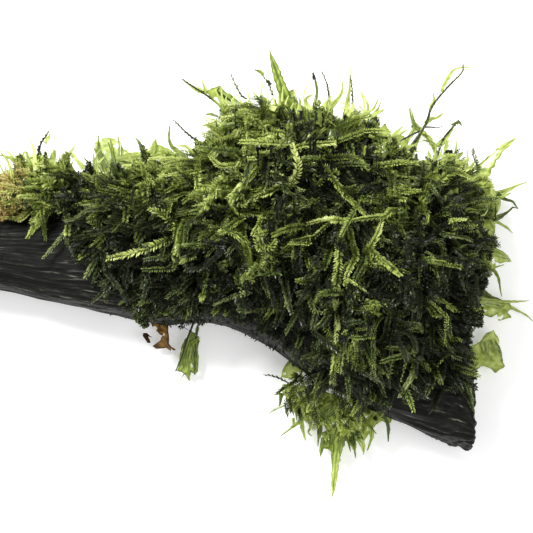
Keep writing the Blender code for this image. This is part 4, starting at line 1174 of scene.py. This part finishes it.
def laid(route, ground, height):
    """A route in the view, laid this high over the ground."""
    flat = smoothed(np.array([(*place, 0.0) for place in route]), 12)[:, :2]
    hits = []
    for place in flat:
        eye, way = sight(place)
        hit = ground.tree.ray_cast(Vector(eye), Vector(way))[0]
        hits.append(hit.z if hit else None)
    known = [z for z in hits if z is not None] or [2.0]
    heights = np.array([z if z is not None else min(known) for z in hits])
    even = np.convolve(np.pad(heights, 2, mode="edge"), np.ones(5) / 5, mode="valid")
    rise = height * np.array([min(1.0, 0.2 + 0.3 * k) for k in range(len(flat))])
    return np.array([seen_at(place, z + up) for place, z, up in zip(flat, np.maximum(even, heights - 1.0), rise)])


def make_shown_fronds(ground, material):
    bunch = Bunch()
    for kind, tone, height, *route in SHOWN_FRONDS:
        path = laid(route, ground, height)
        facing = unit(UP + RNG.normal(0, 0.2, 3))
        old = -0.5 if tone < 0.6 else 0.0
        add_frond(bunch, path, facing, kind, tone, old, 0.98, 0.2, True)
    finish_piece(bunch.build("shown_fronds", material), "moss_mid")


def ragged_rim(corners, step=0.45):
    """The edge of a film in small uneven steps."""
    rim = []
    for a, b in zip(corners, [*corners[1:], corners[0]]):
        count = max(1, int(np.linalg.norm(b - a) / step))
        rim += [a + (b - a) * t for t in np.linspace(0, 1, count, endpoint=False)]
    return np.array(rim) + RNG.normal(0, 0.06, (len(rim), 2))


def draped(place, height, clearance=1.0):
    """The height of a film or frond here: as given, or just over the moss where that is higher."""
    eye, way = sight(place)
    hit = everything.tree.ray_cast(Vector(eye), Vector(way))[0]
    over = hit is not None and hit.z + clearance > height
    return (hit.z + clearance, 1.0) if over else (height, 0.0)


def film_sheet(bunch, corners, height, tone, age, seed, hole=0.34, step=0.5):
    """A thin wet sheet with a dark edge, torn into holes and gently waved."""
    rim = ragged_rim(corners)
    edges = [(k, (k + 1) % len(rim)) for k in range(len(rim))]
    low, high = rim.min(axis=0), rim.max(axis=0)
    grid = [(x, y) for x in np.arange(low[0], high[0], step) for y in np.arange(low[1], high[1], step)]
    grid = np.array(grid) + RNG.uniform(-0.2, 0.2, (len(grid), 2)) * step
    places = [Vector(point) for point in np.vstack((rim, grid))]
    verts, _, faces, *_ = geometry.delaunay_2d_cdt(places, edges, [], 1, 1e-4)
    flat = np.array([tuple(v) for v in verts])
    wave = np.array([noise.noise(Vector((*p, seed)) / 3.0) for p in flat])
    torn = np.array([noise.noise(Vector((*p, seed + 9.0)) / 1.3) for p in flat])
    mottle = np.array([noise.noise(Vector((p[0] * 0.6, p[1], seed)) / 0.6) for p in flat])
    inside = np.linalg.norm(flat[:, None] - rim[None], axis=2).min(axis=1)
    faces = np.array([face for face in faces if len(face) == 3 and torn[list(face)].mean() < hole])
    heights = height + wave * 0.5
    draped_painted_shade = np.zeros(len(flat))
    if height > DRAPED_FROM:
        heights, draped_painted_shade = np.array([draped(place, up) for place, up in zip(flat, heights)]).T
    points = np.array([seen_at(place, up) for place, up in zip(flat, heights)])
    faces = faces[np.ptp(points[faces][:, :, 2], axis=1) < FILM_DROP]
    # Where a film is laid over the moss it is painted darker, as painted shade, for the lower light that comes
    # through it.
    tones = tone + 0.16 * torn + 0.22 * mottle - 0.24 * np.exp(-(inside / 0.25) ** 2) - 0.22 * draped_painted_shade
    tones = tones + RNG.normal(0, 0.05, len(flat))
    bunch.add(points, faces, np.clip(tones, 0, 1), age)


def make_films(film):
    for name, (height, tone, *corners) in FILMS.items():
        bunch = Bunch()
        brown = name.startswith("brown_leaf")
        film_sheet(bunch, [np.array(corner) for corner in corners], height, tone, float(brown), float(len(name)))
        nodes = [name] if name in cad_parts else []
        piece = bunch.build(name if name.endswith("film") else name + "_film", film)
        finish_piece(piece, "leaf_brown" if brown else "moss_bright", *nodes)


# Stage

def look_at(obj, target):
    obj.rotation_euler = (Vector(target) - obj.location).to_track_quat("-Z", "Y").to_euler()


def make_camera():
    data = bpy.data.cameras.new("camera")
    data.lens = CAMERA_LENS
    data.sensor_width = CAMERA_SENSOR
    data.clip_start = 0.01
    camera = bpy.data.objects.new("camera", data)
    bpy.context.scene.collection.objects.link(camera)
    camera.location = Vector(camera_place()) * MM
    look_at(camera, (0, 0, VIEW_HEIGHT * MM))
    bpy.context.scene.camera = camera


def area_light(name, place, size, power):
    data = bpy.data.lights.new(name, "AREA")
    data.size = size
    data.energy = power
    light = bpy.data.objects.new(name, data)
    light.location = place
    bpy.context.scene.collection.objects.link(light)
    look_at(light, (0, 0, 0.01))


def make_stage():
    bpy.ops.mesh.primitive_plane_add(size=4.0, location=(0, 0, -0.0001))
    floor = bpy.context.object
    floor.name = "floor"
    floor.data.materials.append(floor_material())
    area_light("key", (-0.34, 0.32, 0.60), 0.22, 8.0)
    area_light("fill", (0.45, -0.35, 0.6), 0.5, 2.5)
    world = bpy.data.worlds.new("studio")
    world.use_nodes = True
    background = world.node_tree.nodes["Background"]
    background.inputs["Color"].default_value = (1, 1, 1, 1)
    background.inputs["Strength"].default_value = 0.65
    bpy.context.scene.world = world
    bpy.context.scene.view_settings.view_transform = "Standard"


make_camera()
make_stage()
leaves = wet_leaf_material("moss_leaves", 0.25, 0.45, 0.25)
films = wet_leaf_material("moss_films", 0.5, 0.3, 0.6)
tangle = core_material()
wood = make_wood()
CUSHIONS = {
    "moss_saddle": ("moss_mid", 0.40, 0.38, 3.0), "moss_limb_tuft": ("moss_tan", 0.22, 0.46, 3.5),
    "moss_right_skirt": ("moss_mid", 0.12, 0.46, 4.0),
}
mound_core = make_core("moss_mound", tangle, "moss_dark", 4.0)
cores = {node: make_core(node, tangle, row[0], row[3]) for node, row in CUSHIONS.items()}
everything = Ground([wood, mound_core, *cores.values()])
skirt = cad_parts["moss_front_skirt"]
outline = Ground([wood, mound_core, *cores.values(), skirt])
make_mound_fronds(Ground([mound_core]), leaves)
for node, (slot, size, tone, _) in CUSHIONS.items():
    make_cushion_fronds(node, Ground([cores[node]]), leaves, slot, size, tone)
    make_lock_fronds(node, Ground([cores[node]]), leaves)
make_lock_fronds("moss_mound", Ground([mound_core]), leaves)
make_wood_fronds(Ground([wood]), leaves)
make_front_skirt(Ground([skirt]), films)
make_outline_fronds(films)
make_edge_fronds(films)
make_films(films)
make_shown_fronds(everything, leaves)
